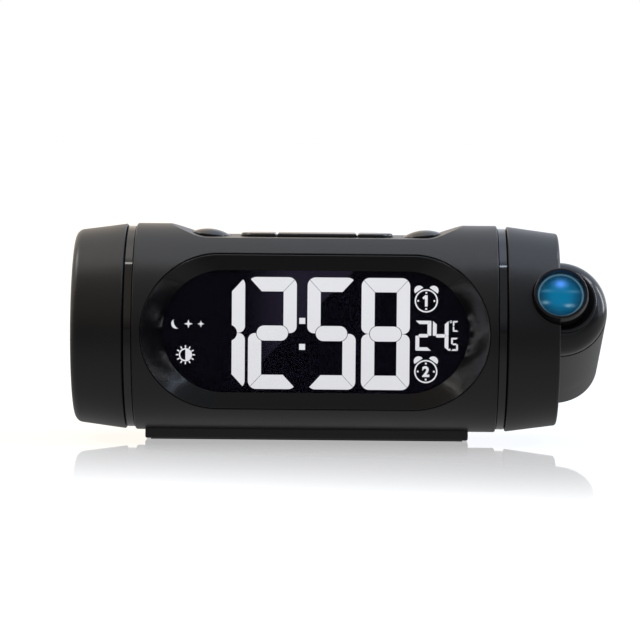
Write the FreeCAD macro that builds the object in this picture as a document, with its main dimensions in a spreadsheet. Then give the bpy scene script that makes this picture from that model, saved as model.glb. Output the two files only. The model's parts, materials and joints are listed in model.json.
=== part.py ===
import FreeCAD, Part
import math
import os
import re
import Sketcher

V = FreeCAD.Vector
doc = FreeCAD.newDocument("ProjectionAlarmClock")

# Driving sizes in millimetres and degrees
# The clock's long axis runs along X at axis_height above the table; heights below are from that axis.
SIZES = [
    ("axis_height", 40.0, "height of the long axis above the table"),
    ("body_radius", 37.0, "outer radius of the cylindrical body"),
    ("body_half", 64.2, "half the length of the cylindrical body"),
    ("wall", 2.2, "wall of the moulded shells"),
    ("split_depth", 18.5, "depth of the seam between front and rear housing"),
    ("seam", 0.15, "gap at a visible seam"),
    ("bevel", 0.35, "bevel on the edges of the tube, rings and caps"),
    ("ring_radius", 36.0, "outer radius of the recessed trim rings"),
    ("ring_bore", 32.8, "bore of the trim rings"),
    ("ring_width", 3.2, "width of a trim ring"),
    ("cap_gap", 0.3, "gap between trim ring and end cap"),
    ("cap_rim", 36.7, "cap radius at the rim"),
    ("cap_end", 34.3, "cap radius at the end face"),
    ("cap_length", 18.3, "length of an end cap"),
    ("left_corner", 2.9, "rounding of the left cap's end"),
    ("right_corner", 1.0, "rounding of the right cap's end"),
    ("deck_height", 32.7, "height of the key deck above the axis"),
    ("deck_flat", 41.0, "half length of the deck's level floor"),
    ("deck_end", 52.3, "half length of the deck where its ramps meet the top"),
    ("deck_blend", 14.0, "rounding between floor and ramp"),
    ("deck_width", 44.0, "width of the deck's cutter"),
    ("key_gap", 0.25, "gap round the keys"),
    ("bar_half", 14.15, "half length of the snooze bar"),
    ("bar_rise", 1.3, "how far the middle keys stand proud"),
    ("bar_radius", 6.5, "half width of the middle keys"),
    ("bar_end", 27.2, "half length of the three middle keys together"),
    ("split_gap", 0.5, "gap between neighbouring middle keys"),
    ("knob_place", 37.8, "distance of the round keys from the middle"),
    ("knob_radius", 7.0, "radius of the round keys"),
    ("knob_rise", 2.5, "how far the round keys stand proud"),
    ("knob_tilt", 6.0, "tilt of the round keys toward the middle"),
    ("bezel_radius", 27.3, "end radius of the window surround"),
    ("bezel_straight", 34.1, "half length of the surround's straight sides"),
    ("bezel_land", 0.05, "width of the flat left round the surround's funnel"),
    ("edge_round", 0.3, "rounding of the window opening's outer edge"),
    ("glass_radius", 21.6, "end radius of the visible glass"),
    ("glass_straight", 32.5, "half length of the glass's straight sides"),
    ("lip_depth", 24.0, "depth of the surround's inner lip in front of the axis"),
    ("glass_depth", 23.4, "depth of the glass's front face"),
    ("glass_thick", 1.4, "thickness of the window"),
    ("foot_left", 60.8, "reach of the foot to the left"),
    ("foot_right", 54.6, "reach of the foot to the right"),
    ("foot_front", 8.0, "reach of the foot to the front"),
    ("foot_back", 18.0, "reach of the foot to the back"),
    ("pad_rise", 0.4, "how far the rubber pads lift the foot"),
    ("pad_thick", 1.2, "thickness of the rubber pads"),
    ("tilt", 23.5, "angle of the projector barrel above level"),
    ("barrel_place", 85.8, "distance of the barrel axis from the middle"),
    ("barrel_radius", 17.2, "radius of the projector barrel"),
    ("barrel_wall", 2.0, "wall of the projector barrel"),
    ("barrel_back", 36.7, "radius that trims the barrel's back end"),
    ("lip_place", 19.5, "distance of the barrel's front lip from the long axis"),
    ("dome_radius", 17.0, "radius of the dark dome at its lip"),
    ("dome_front", 29.2, "distance of the dome's front from the long axis"),
    ("collar_place", 30.4, "distance of the dome's collar from the long axis"),
    ("collar_radius", 11.7, "radius of the dome's collar"),
    ("collar_shift", 1.2, "how far the collar's middle lies outside the barrel axis"),
    ("nose_radius", 9.8, "radius of the focus ring"),
    ("lens_place", 38.0, "distance of the focus ring's front from the long axis"),
    ("lens_ring", 9.4, "radius of the focus ring's front edge"),
    ("lens_radius", 8.4, "radius of the visible lens"),
    ("hub_radius", 9.0, "radius of the head's hub"),
    ("hub_play", 0.06, "running clearance of the hub in its bearing"),
    ("digit_height", 39.6, "height of the large digits"),
    ("digit_width", 17.1, "width of the large digits"),
    ("stroke", 4.65, "stroke of the large digits"),
    ("rung", 5.05, "height of the large digits' level strokes"),
    ("digit_gap", 0.14, "gap between neighbouring strokes"),
    ("digit_depth", 21.9, "depth of the digits' front face"),
    ("digit_thick", 0.2, "thickness of the digits"),
]

sheet = doc.addObject("Spreadsheet::Sheet", "Sizes")
for row, (alias, number, meaning) in enumerate(SIZES, 1):
    sheet.set("A" + str(row), meaning)
    sheet.set("B" + str(row), str(number))
    sheet.setAlias("B" + str(row), alias)
doc.recompute()
pieces = []


# Helpers that bind a size or a place to the sheet
def formula(text):
    """Turn plain alias names into references to the sheet."""
    return re.sub(r"\b([a-z][a-z_]*[a-z])\b(?!\()", r"Sizes.\1", text)


def value(text):
    """The number that a formula gives now."""
    return float(sheet.evalExpression(formula(text)))


def bind(item, **formulas):
    for name, text in formulas.items():
        item.setExpression(name, formula(text))
    return item


AXES = {"X": V(1, 0, 0), "Y": V(0, 1, 0), "Z": V(0, 0, 1), "-Y": V(0, -1, 0)}


def place(item, x="0", y="0", z="0", along="Z"):
    """Put an item at x, y, z with its own Z turned along a named axis."""
    item.Placement = FreeCAD.Placement(V(0, 0, 0), FreeCAD.Rotation(AXES["Z"], AXES[along]))
    for letter, text in zip("xyz", (x, y, z)):
        item.setExpression("Placement.Base." + letter, formula(text))
    return item


def box(name, x, y, z):
    """A box between two limits on each axis."""
    item = doc.addObject("Part::Box", name)
    sizes = ["(" + high + ") - (" + low + ")" for low, high in (x, y, z)]
    bind(item, Length=sizes[0], Width=sizes[1], Height=sizes[2])
    return place(item, x[0], y[0], z[0])


def rod(name, radius, length, x="0", y="0", z="0", along="X"):
    item = doc.addObject("Part::Cylinder", name)
    bind(item, Radius=radius, Height=length)
    return place(item, x, y, z, along)


def group(name, parts):
    item = doc.addObject("Part::Compound", name)
    item.Links = parts
    return item


def fuse(name, parts):
    item = doc.addObject("Part::MultiFuse", name)
    item.Shapes = parts
    return item


def common(name, first, second):
    item = doc.addObject("Part::Common", name)
    item.Base = first
    item.Tool = second
    return item


def cut(name, base, tools):
    item = doc.addObject("Part::Cut", name)
    item.Base = base
    item.Tool = tools[0] if len(tools) == 1 else fuse(name + "_tools", tools)
    return item


# Helpers for sketched bodies
def outline(body, name, role, points):
    """A closed sketch on an origin plane; a point with two more formulas ends an arc through them."""
    sketch = body.newObject("Sketcher::SketchObject", name)
    plane = [item for item in body.Origin.OriginFeatures if item.Role == role][0]
    sketch.AttachmentSupport = (plane, [""])
    sketch.MapMode = "FlatFace"
    corners = [V(value(point[0]), value(point[1]), 0) for point in points]
    for index, point in enumerate(points):
        start = corners[index - 1]
        if len(point) == 4:
            middle = V(value(point[2]), value(point[3]), 0)
            sketch.addGeometry(Part.ArcOfCircle(start, middle, corners[index]))
        else:
            sketch.addGeometry(Part.LineSegment(start, corners[index]))
    for index in range(len(points)):
        for mark in (1, 2):
            spot = sketch.getPoint(index, mark)
            near = min(index - 1, index, key=lambda other: spot.distanceToPoint(corners[other]))
            for kind, number, text in (("DistanceX", corners[near].x, points[near][0]),
                                       ("DistanceY", corners[near].y, points[near][1])):
                held = sketch.addConstraint(Sketcher.Constraint(kind, -1, 1, index, mark, number))
                sketch.setExpression("Constraints[%d]" % held, formula(text))
    return sketch


def turned(name, points, role="XZ_Plane", axis="H_Axis"):
    """A body turned about one axis of its sketch."""
    body = doc.addObject("PartDesign::Body", name)
    sketch = outline(body, name + "_profile", role, points)
    doc.recompute()
    spin = body.newObject("PartDesign::Revolution", name + "_turn")
    spin.Profile = sketch
    spin.ReferenceAxis = (sketch, [axis])
    spin.Angle = 360
    return body


def cap_point(radius, edge, apex):
    """The point on the axis that ends a spherical cap begun at the given radius and edge."""
    rise = "((" + apex + ") - (" + edge + "))"
    ball = "(((" + radius + ")^2 + " + rise + "^2)/(2*" + rise + "))"
    sign = rise + "/abs(" + rise + ")"
    half = "(" + apex + ") - " + ball + " + " + sign + "*sqrt(" + ball + "^2 - (" + radius + ")^2/4)"
    return "0", apex, "(" + radius + ")/2", half


def turned_head(name, points):
    """A body turned about the barrel axis, from points of radius and distance in front of the long axis."""
    flipped = [tuple("-(" + text + ")" if index % 2 else text for index, text in enumerate(point))
               for point in points]
    body = turned(name, flipped, "XY_Plane", "V_Axis")
    body.setExpression("Placement.Base.x", formula("barrel_place"))
    return body


def padded(name, role, points, length):
    body = doc.addObject("PartDesign::Body", name)
    sketch = outline(body, name + "_profile", role, points)
    doc.recompute()
    pad = body.newObject("PartDesign::Pad", name + "_pad")
    pad.Profile = sketch
    bind(pad, Length=length)
    return body


def stadium(name, straight, radius, y_low, y_high):
    """A bar with round ends, lying along X and reaching from y_low to y_high."""
    length = "(" + y_high + ") - (" + y_low + ")"
    bar = box(name + "_bar", ("-(" + straight + ")", straight), (y_low, y_high),
              ("-(" + radius + ")", radius))
    ends = [rod(name + side, radius, length, sign + "(" + straight + ")", y_low, "0", "Y")
            for side, sign in (("_left", "-"), ("_right", ""))]
    return fuse(name, [bar] + ends)


def finish(name, item, turn=None):
    """Name a piece, lift it to the axis height and, on the projector head, turn it with the barrel."""
    item.Label = name
    if turn:
        item.Placement = FreeCAD.Placement(item.Placement.Base, FreeCAD.Rotation(turn[0], 1))
        item.setExpression("Placement.Rotation.Angle", formula(turn[1]))
    item.setExpression("Placement.Base.z", formula("axis_height" + (turn[2] if turn else "")))
    pieces.append(item)
    return item


HEAD = (V(1, 0, 0), "-tilt", "")


# Deck cutter, also used a wall lower inside the shell
def deck_cutter(name, drop):
    low = "deck_height - (" + drop + ")"
    far = "2*deck_end - deck_flat"
    high = "2*body_radius - deck_height - (" + drop + ")"
    points = [("-deck_flat", low), ("deck_flat", low), (far, high), (far, "2*body_radius"),
              ("-(" + far + ")", "2*body_radius"), ("-(" + far + ")", high)]
    body = padded(name, "XZ_Plane", points, "deck_width")
    doc.recompute()
    pad = body.Tip
    edges = []
    for number, edge in enumerate(pad.Shape.Edges, 1):
        middle = edge.CenterOfMass
        if abs(abs(middle.x) - value("deck_flat")) < 0.01 and abs(middle.z - value(low)) < 0.01:
            edges.append("Edge%d" % number)
    blend = body.newObject("PartDesign::Fillet", name + "_blend")
    blend.Base = (pad, edges)
    bind(blend, Radius="deck_blend")
    body.setExpression("Placement.Base.y", formula("deck_width/2"))
    return body


# Front and rear housing
def shell_half(name, y_low, y_high):
    """One half of the tube, solid outside and hollow inside, with the deck's floor kept."""
    slab = box(name + "_slab", ("-body_half", "body_half"), (y_low, y_high), ("-body_radius", "body_radius"))
    skin = turned(name + "_skin", [
        ("-body_half", "0"), ("-body_half", "body_radius - bevel"), ("-body_half + bevel", "body_radius"),
        ("body_half - bevel", "body_radius"), ("body_half", "body_radius - bevel"), ("body_half", "0")])
    outer = common(name + "_outer", skin, slab)
    bore = rod(name + "_bore", "body_radius - wall", "2*body_half + 2", "-body_half - 1")
    hollow = cut(name + "_hollow", bore, [deck_cutter(name + "_floor", "wall")])
    return outer, hollow


KEY_POSTS = [(side * 20.5, depth) for side in (-1, 1) for depth in (-10.8, 10.8)]
BOARD_POSTS = [(side * 44.0, depth) for side in (-1, 1) for depth in (-1.0, 14.0)]
FOOT_SCREWS = (-38.0, 32.0)

front_outer, front_hollow = shell_half("front", "-body_radius", "split_depth - seam")
front_window = stadium("front_window", "bezel_straight", "bezel_radius", "-2*body_radius", "-lip_depth/2")
bar_hole_box = box("bar_hole_box", ("-bar_end + bar_radius", "bar_end - bar_radius"),
                   ("-bar_radius - key_gap", "bar_radius + key_gap"), ("deck_height - 6", "body_radius"))
bar_hole_ends = [rod("bar_hole_end" + side, "bar_radius + key_gap", "10", sign + "(bar_end - bar_radius)",
                     "0", "deck_height - 6", "Z") for side, sign in (("_left", "-"), ("_right", ""))]
knob_holes = []
for side, sign in (("left", -1), ("right", 1)):
    hole = rod("knob_hole_" + side, "knob_radius + key_gap", "14")
    hole.Placement = FreeCAD.Placement(V(0, 0, 0), FreeCAD.Rotation(V(0, 1, 0), -sign * value("knob_tilt")))
    hole.setExpression("Placement.Base.x", formula("%d*(knob_place + 7*sin(knob_tilt))" % sign))
    hole.setExpression("Placement.Base.z", formula("deck_height - 7*cos(knob_tilt)"))
    knob_holes.append(hole)
foot_bosses = [rod("foot_boss_%d" % index, "3", "7", str(x), "4", "-body_radius + 1.5", "Z")
               for index, x in enumerate(FOOT_SCREWS)]
foot_threads = [rod("foot_thread_%d" % index, "1.15", "12", str(x), "4", "-body_radius - 1", "Z")
                for index, x in enumerate(FOOT_SCREWS)]
key_posts = [rod("key_post_%d" % index, "1.8", "deck_height - 24.1", str(x), str(y), "22.6", "Z")
             for index, (x, y) in enumerate(KEY_POSTS)]
board_posts = [rod("board_post_%d" % index, "2.2", str(12.9 + (3 if y < 0 else 0)), str(x), str(y),
                   str(-32.5 - (3 if y < 0 else 0)), "Z") for index, (x, y) in enumerate(BOARD_POSTS)]
board_threads = [rod("board_thread_%d" % index, "1", "6", str(x), str(y), "-25", "Z")
                 for index, (x, y) in enumerate(BOARD_POSTS)]
front_shell = cut("front_shell", front_outer, [front_hollow, deck_cutter("deck_top", "0"), front_window])
doc.recompute()
window_edges = []
for number, edge in enumerate(front_shell.Shape.Edges, 1):
    spots = edge.discretize(5)
    on_skin = all(abs(math.hypot(spot.y, spot.z) - value("body_radius")) < 0.01 for spot in spots)
    if on_skin and all(spot.y < -20 and abs(spot.x) < value("body_half") - 1 for spot in spots):
        window_edges.append((number, value("edge_round"), value("edge_round")))
print("rounded window edges:", len(window_edges))
front_round = doc.addObject("Part::Fillet", "front_round")
front_round.Base = front_shell
front_round.Edges = window_edges
front_solid = fuse("front_solid", [front_round] + foot_bosses + key_posts + board_posts)
front_holes = [bar_hole_box] + bar_hole_ends + knob_holes + foot_threads + board_threads
finish("front_housing", cut("front_cut", front_solid, front_holes))

REAR_SCREWS = [(side * 57.0, height) for side in (-1, 1) for height in (-20.0, 20.0)]
JACK_X = 30.0
JACK_Z = -13.0
TRAY_X = -30.0
TRAY_LOW = 6.0
TRAY_HIGH = 10.4
TRAY_HALF = 12.0
VENTS = [4.0 + 4.0 * index for index in range(7)]

rear_outer, rear_hollow = shell_half("rear", "split_depth", "body_radius")
rear_ring = cut("rear_ring", rear_outer, [rear_hollow])
rear_bosses = [rod("rear_boss_%d" % index, "3.4", "12.3", str(x), "split_depth + 0.2", str(z), "Y")
               for index, (x, z) in enumerate(REAR_SCREWS)]
rear_seats = [rod("rear_seat_%d" % index, "2.7", "14", str(x), "26", str(z), "Y")
              for index, (x, z) in enumerate(REAR_SCREWS)]
rear_threads = [rod("rear_thread_%d" % index, "1.5", "12", str(x), "17", str(z), "Y")
                for index, (x, z) in enumerate(REAR_SCREWS)]
jack_hole = rod("jack_hole", "4.3", "10", str(JACK_X), "30", str(JACK_Z), "Y")
TRAY_SLOT_X = (str(TRAY_X - TRAY_HALF) + " - key_gap", str(TRAY_X + TRAY_HALF) + " + key_gap")
TRAY_SLOT_Z = (str(TRAY_LOW) + " - key_gap", str(TRAY_HIGH) + " + key_gap")
tray_hole = box("tray_hole", TRAY_SLOT_X, ("30", "40"), TRAY_SLOT_Z)
vent_holes = [box("vent_%d" % index, (str(x), str(x + 1.8)), ("30", "40"), ("2", "17"))
              for index, x in enumerate(VENTS)]
rear_solid = fuse("rear_solid", [rear_ring] + rear_bosses)
rear_holes = rear_seats + rear_threads + [jack_hole, tray_hole] + vent_holes
finish("rear_housing", cut("rear_cut", rear_solid, rear_holes))


# Window surround, with a funnel ruled from the flat lip out to the cylinder
def ring_wire(straight, radius, depth_at):
    """A stadium seen from the front, at the depth that each height asks for."""
    def at(x, height):
        return V(x, -depth_at(height), height)

    def end(sign):
        turns = [math.pi * step / 24 for step in range(25)]
        return [at(sign * (straight + radius * math.sin(turn)), sign * radius * math.cos(turn))
                for turn in turns]

    edges = []
    for sign in (1, -1):
        edges.append(Part.makeLine(at(-sign * straight, sign * radius), at(sign * straight, sign * radius)))
        curve = Part.BSplineCurve()
        curve.interpolate(end(sign))
        edges.append(curve.toShape())
    return Part.Wire(edges)


surround_radius = value("body_radius") + 0.02
funnel = doc.addObject("Part::Feature", "funnel")
funnel.Shape = Part.makeLoft([
    ring_wire(value("glass_straight"), value("glass_radius"), lambda height: value("lip_depth")),
    ring_wire(value("bezel_straight"), value("bezel_radius") - value("seam") - value("bezel_land"),
              lambda height: math.sqrt(surround_radius ** 2 - height ** 2)),
    ring_wire(value("bezel_straight"), value("bezel_radius") - value("seam") - value("bezel_land"),
              lambda height: 2 * value("body_radius")),
], True, True)
bezel_bar = stadium("bezel_bar", "bezel_straight", "bezel_radius - seam", "-2*body_radius",
                    "-glass_depth + 3")
bezel_skin = rod("bezel_skin", "body_radius - 0.1", "2*body_half", "-body_half")
bezel_blank = common("bezel_blank", bezel_bar, bezel_skin)
glass_pocket = stadium("glass_pocket", "glass_straight", "glass_radius + 1.5", "-glass_depth", "0")
glass_view = stadium("glass_view", "glass_straight", "glass_radius", "-2*body_radius", "0")
finish("window_bezel", cut("bezel_cut", bezel_blank, [funnel, glass_pocket, glass_view]))

finish("display_window", stadium("window_pane", "glass_straight", "glass_radius + 1.4", "-glass_depth",
                                 "-glass_depth + glass_thick"))
finish("display_mask", stadium("mask_plate", "glass_straight", "glass_radius + 1.3",
                               "-digit_depth + digit_thick + 0.05", "-digit_depth + 1.6"))


# Seven-segment figures
SEGMENTS = {"0": "abcdef", "1": "bc", "2": "abged", "4": "fgbc", "5": "afgcd", "8": "abcdefg", "C": "afed"}


def figure_shapes(text, left, low, width, height, stroke, rung, gap, corner, bite):
    """The lit strokes of one figure as thin solids, in the order a to g."""
    front = -value("digit_depth")
    middle = height / 2
    slant = gap * 0.7
    waist = corner * 0.8
    hub = stroke * 1.217

    def solid(points):
        corners = [V(left + x, front, low + z) for x, z in points]
        return Part.Face(Part.makePolygon(corners + corners[:1])).extrude(V(0, value("digit_thick"), 0))

    def rounded(bottom, top, bottom_corner, top_corner):
        """A plate over part of the figure's height, for rounding the corners of strokes."""
        block = Part.makeBox(width, 1, top - bottom, V(left, front - 0.5, low + bottom))
        for level, radius in ((bottom, bottom_corner), (top, top_corner)):
            edges = [edge for edge in block.Edges if abs(edge.tangentAt(edge.FirstParameter).y) > 0.9
                     and abs(edge.CenterOfMass.z - low - level) < 0.001]
            block = block.makeFillet(radius, edges)
        return block

    def disc(x, radius):
        return Part.makeCylinder(radius, 2, V(left + x, front - 1, low + middle), V(0, 1, 0))

    top = [(slant, height), (width - slant, height), (width - stroke - slant, height - rung),
           (stroke + slant, height - rung)]
    upper = [(width, height - slant), (width, middle + gap / 2), (width - stroke, middle + gap / 2),
             (width - stroke, height - rung - slant)]
    half_bar = bite - 1.5 * gap
    bar = [(hub, middle + half_bar), (width - hub, middle + half_bar),
           (width - hub, middle - half_bar), (hub, middle - half_bar)]

    def across(points):
        return [(width - x, z) for x, z in points]

    def down(points):
        return [(x, height - z) for x, z in points]

    strokes = {"a": top, "b": upper, "c": down(upper), "d": down(top), "e": across(down(upper)),
               "f": across(upper)}
    halves = {"abf": rounded(middle + gap / 2, height, waist, corner),
              "cde": rounded(0, middle - gap / 2, corner, waist)}
    shapes = []
    for letter in SEGMENTS[text]:
        if letter == "g":
            caps = [disc(x, half_bar).common(solid([(0, 0), (width, 0), (width, height), (0, height)]))
                    for x in (hub, width - hub)]
            shapes.append(solid(bar).fuse(caps).removeSplitter())
        else:
            half = [block for letters, block in halves.items() if letter in letters][0]
            shape = solid(strokes[letter]).common(half)
            if letter in "bcef":
                shape = shape.cut(disc(width - hub if letter in "bc" else hub, bite))
            shapes.append(shape)
    return [solid_part for shape in shapes for solid_part in shape.Solids]


def flat_square(x, z, side):
    return Part.makeBox(side, value("digit_thick"), side, V(x, -value("digit_depth"), z))


DIGIT_LOW = -0.65 - value("digit_height") / 2
TIME_FIGURES = [("1", -42.03), ("2", -23.8), ("5", -2.9), ("8", 16.17)]
time_solids = []
FIGURE_CORNER = 2.9
FIGURE_BITE = 2.87
COLON = (-5.75, (2.7, -6.5), 2.1)
for text, left in TIME_FIGURES:
    time_solids += figure_shapes(text, left, DIGIT_LOW, value("digit_width"), value("digit_height"),
                                 value("stroke"), value("rung"), value("digit_gap"), FIGURE_CORNER,
                                 FIGURE_BITE)
for height in COLON[1]:
    time_solids.append(flat_square(COLON[0], height, COLON[2]))
digits = doc.addObject("Part::Feature", "digits")
digits.Shape = Part.makeCompound(time_solids)
finish("display_digits", digits)

SMALL_FIGURES = [("2", 35.3, -6.4, 5.55, 10.6, 1.35, 1.2), ("4", 41.4, -6.4, 5.55, 10.6, 1.35, 1.2),
                 ("5", 47.9, -6.35, 2.4, 4.6, 0.62, 0.6), ("C", 48.45, 0.4, 1.95, 3.8, 0.55, 0.55)]
SMALL_GAP = 0.06
small_solids = []
for text, left, low, width, height, stroke, rung in SMALL_FIGURES:
    small_solids += figure_shapes(text, left, low, width, height, stroke, rung, SMALL_GAP, 0.3,
                                  rung / 2 + 1.5 * SMALL_GAP)
small_solids.append(flat_square(47.0, -6.35, 0.7))
reading = doc.addObject("Part::Feature", "reading")
reading.Shape = Part.makeCompound(small_solids)
finish("display_reading", reading)

# Display module behind the window
def plate(name, half_x, y, half_z):
    """A flat plate that stands across the tube, centred on the display."""
    return group(name, [box(name + "_box", ("-%g" % half_x, str(half_x)), y, ("-%g" % half_z, str(half_z)))])


finish("display_panel", plate("panel", 46, ("-20.2", "-18"), 23))
finish("light_guide", plate("guide", 45, ("-17.9", "-15.9"), 22.5))
finish("display_board", plate("display_card", 47, ("-14.8", "-13.4"), 24))
LAMP_SIDE = 2.8
LAMP_COLUMNS = (-37.4, -19.4, -1.4, 16.6, 34.6)
LAMP_ROWS = (-14.4, -1.4, 11.6)
lamp_blocks = [box("lamp_%d_%d" % (column, row), (str(x), str(x + LAMP_SIDE)), ("-15.8", "-14.8"),
                   (str(z), str(z + LAMP_SIDE)))
               for column, x in enumerate(LAMP_COLUMNS) for row, z in enumerate(LAMP_ROWS)]
finish("backlight_lamps", group("lamps", lamp_blocks))
retainer_outer = box("retainer_outer", ("-50", "50"), ("-20.3", "-12.8"), ("-27", "27"))
retainer_inner = box("retainer_inner", ("-47.2", "47.2"), ("-30", "-13.4"), ("-24.2", "24.2"))
retainer_view = box("retainer_view", ("-40", "40"), ("-30", "0"), ("-18", "18"))
finish("display_retainer", cut("retainer", retainer_outer, [retainer_inner, retainer_view]))


# Keys
def key_switch(name, x):
    """A push switch on the key board, its plunger a little below the key's stem."""
    base = box(name + "_base", (str(x - 3), str(x + 3)), ("-3", "3"), ("22.6", "25"))
    plunger = rod(name + "_plunger", "1.5", "1.2", str(x), "0", "24.9", "Z")
    return fuse(name, [base, plunger])


SIDE_KEY = (value("bar_half") + value("split_gap") + value("bar_end")) / 2
KNOB_X = value("knob_place")
SWITCHES = (-KNOB_X, -SIDE_KEY, 0, SIDE_KEY, KNOB_X)
switches = [key_switch("switch_%d" % index, x) for index, x in enumerate(SWITCHES)]
finish("key_switches", group("switches", switches))
board_plate = box("key_board_plate", ("-46", "46"), ("-12.4", "13"), ("21", "22.55"))
board_holes = [rod("key_board_hole_%d" % index, "0.9", "4", str(x), str(y), "20", "Z")
               for index, (x, y) in enumerate(KEY_POSTS)]
finish("key_board", cut("key_card", board_plate, board_holes))


KEY_ROUND = 0.9


def middle_key(name, low, high, round_end):
    """A key of the middle row: cap, flange under the deck and stem; round_end is -1, 0 or 1."""
    flat = [low, high]
    if round_end < 0:
        flat[0] = "-bar_end + bar_radius"
    if round_end > 0:
        flat[1] = "bar_end - bar_radius"
    top = "deck_height + bar_rise"
    cap = [box(name + "_cap", flat, ("-bar_radius", "bar_radius"), ("29.3", top))]
    flange = [box(name + "_flange", flat, ("-bar_radius - 1.2", "bar_radius + 1.2"), ("29.3", "30.2"))]
    if round_end:
        x = flat[0] if round_end < 0 else flat[1]
        cap.append(rod(name + "_cap_end", "bar_radius", top + " - 29.3", x, "0", "29.3", "Z"))
        flange.append(rod(name + "_flange_end", "bar_radius + 1.2", "0.9", x, "0", "29.3", "Z"))
    middle = "((" + low + ") + (" + high + "))/2"
    stem = rod(name + "_stem", "2", "2.4", middle, "0", "27.1", "Z")
    reach = (low if round_end >= 0 else low + " - 2", high if round_end <= 0 else high + " + 2")
    keep = box(name + "_keep", reach, ("-bar_radius - 2", "bar_radius + 2"), ("20", "body_radius"))
    solid = common(name + "_solid", fuse(name + "_whole", cap + flange + [stem]), keep)
    doc.recompute()
    rounding = doc.addObject("Part::Fillet", name + "_round")
    rounding.Base = solid
    edges = []
    for number, edge in enumerate(solid.Shape.Edges, 1):
        if edge.BoundBox.ZMin > value(top) - 0.01:
            edges.append((number, KEY_ROUND, KEY_ROUND))
    rounding.Edges = edges
    solid.Visibility = False
    return rounding


finish("snooze_bar", middle_key("snooze", "-bar_half", "bar_half", 0))
finish("left_key", middle_key("left_small", "-bar_end", "-bar_half - split_gap", -1))
finish("right_key", middle_key("right_small", "bar_half + split_gap", "bar_end", 1))
KNOB_PROFILE = [("0", "-5.5"), ("2", "-5.5"), ("2", "-4.2"), ("knob_radius + 1.1", "-4.2"),
                ("knob_radius + 1.1", "-3.3"), ("knob_radius", "-3.3"), ("knob_radius", "0.4"),
                ("knob_radius - 0.5", "1", "knob_radius - 0.12", "0.78"),
                cap_point("knob_radius - 0.5", "1", "knob_rise")]
for side, sign in (("left", -1), ("right", 1)):
    knob = turned(side + "_knob", KNOB_PROFILE, "XZ_Plane", "V_Axis")
    finish(side + "_round_key", knob, (V(0, 1, 0), "%d*knob_tilt" % -sign, " + deck_height"))
    knob.setExpression("Placement.Base.x", formula("%d*knob_place" % sign))

# Bulkheads that close the tube's ends and carry the caps
SPIGOT = "ring_bore - 0.1"


def bulkhead(name, sign, bore, boss):
    """A disc in the tube's end with a spigot for the trim ring and posts for the rear screws."""
    def at(text):
        return ("-" if sign < 0 else "") + "(" + text + ")"

    points = [(at("body_half - 2.4"), bore), (at("body_half - 2.4"), "body_radius - wall - 0.2"),
              (at("body_half - 0.2"), "body_radius - wall - 0.2"), (at("body_half - 0.2"), SPIGOT),
              (at("body_half + ring_width"), SPIGOT), (at("body_half + ring_width"), SPIGOT + " - 1.5"),
              (at("body_half - 0.2"), SPIGOT + " - 1.5"), (at("body_half - 0.2"), bore)]
    disc = turned(name + "_disc", points)
    posts = [rod(name + "_post_%d" % index, "3.2", "16.4", at("57"), "2", str(z), "Y")
             for index, z in enumerate((-20.0, 20.0))]
    webs = [box(name + "_web_%d" % index, sorted_pair(sign, "56", "body_half - 2.3"), ("4", "16"),
                (str(z - 1.2), str(z + 1.2))) for index, z in enumerate((-20.0, 20.0))]
    threads = [rod(name + "_thread_%d" % index, "1.15", "13", at("57"), "6", str(z), "Y")
               for index, z in enumerate((-20.0, 20.0))]
    return cut(name, fuse(name + "_solid", [disc] + posts + webs + boss), threads)


def sorted_pair(sign, near, far):
    """The same stretch of X on the right side or mirrored to the left."""
    return (near, far) if sign > 0 else ("-(" + far + ")", "-(" + near + ")")


finish("left_bulkhead", bulkhead("left_frame", -1, "21", []))
bearing_tube = cut("bearing_tube", rod("bearing_outer", "12.5", "8.1", "56"),
                   [rod("bearing_bore", "hub_radius + hub_play", "12", "54")])
finish("right_bulkhead", bulkhead("right_frame", 1, "hub_radius + hub_play", [bearing_tube]))
for side, sign in (("left", -1), ("right", 1)):
    low, high = sorted_pair(sign, "body_half", "body_half + ring_width")
    points = [(low, "ring_bore"), (low, "ring_radius - bevel"), (low + " + bevel", "ring_radius"),
              (high + " - bevel", "ring_radius"), (high, "ring_radius - bevel"), (high, "ring_bore")]
    finish(side + "_trim_ring", turned(side + "_ring", points))


# End caps
CAP_START = "body_half + ring_width + cap_gap"
CAP_FINISH = "body_half + ring_width + cap_gap + cap_length"
CAP_SLOPE = "(cap_rim - cap_end)/cap_length"
MOUTH = "cap_rim - wall"


def cap_points(sign, corner, mounting):
    """The half section of a cap, outside first; mounting gives the points of its inner collar."""
    def at(text):
        return ("-" if sign < 0 else "") + "(" + text + ")"

    shoulder = "cap_end + " + CAP_SLOPE + "*" + corner
    points = [(CAP_START, "cap_rim - bevel"), (CAP_START + " + bevel", "cap_rim"),
              (CAP_FINISH + " - " + corner, shoulder),
              (CAP_FINISH, "cap_end - " + corner,
               CAP_FINISH + " - 0.29*" + corner, shoulder + " - 0.33*" + corner),
              (CAP_FINISH, "0"),
              (CAP_FINISH + " - wall", "0"),
              (CAP_FINISH + " - wall", "cap_end - wall - 0.6")] + mounting + [(CAP_START, MOUTH)]
    return [tuple(text if index % 2 else at(text) for index, text in enumerate(point)) for point in points]


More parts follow.
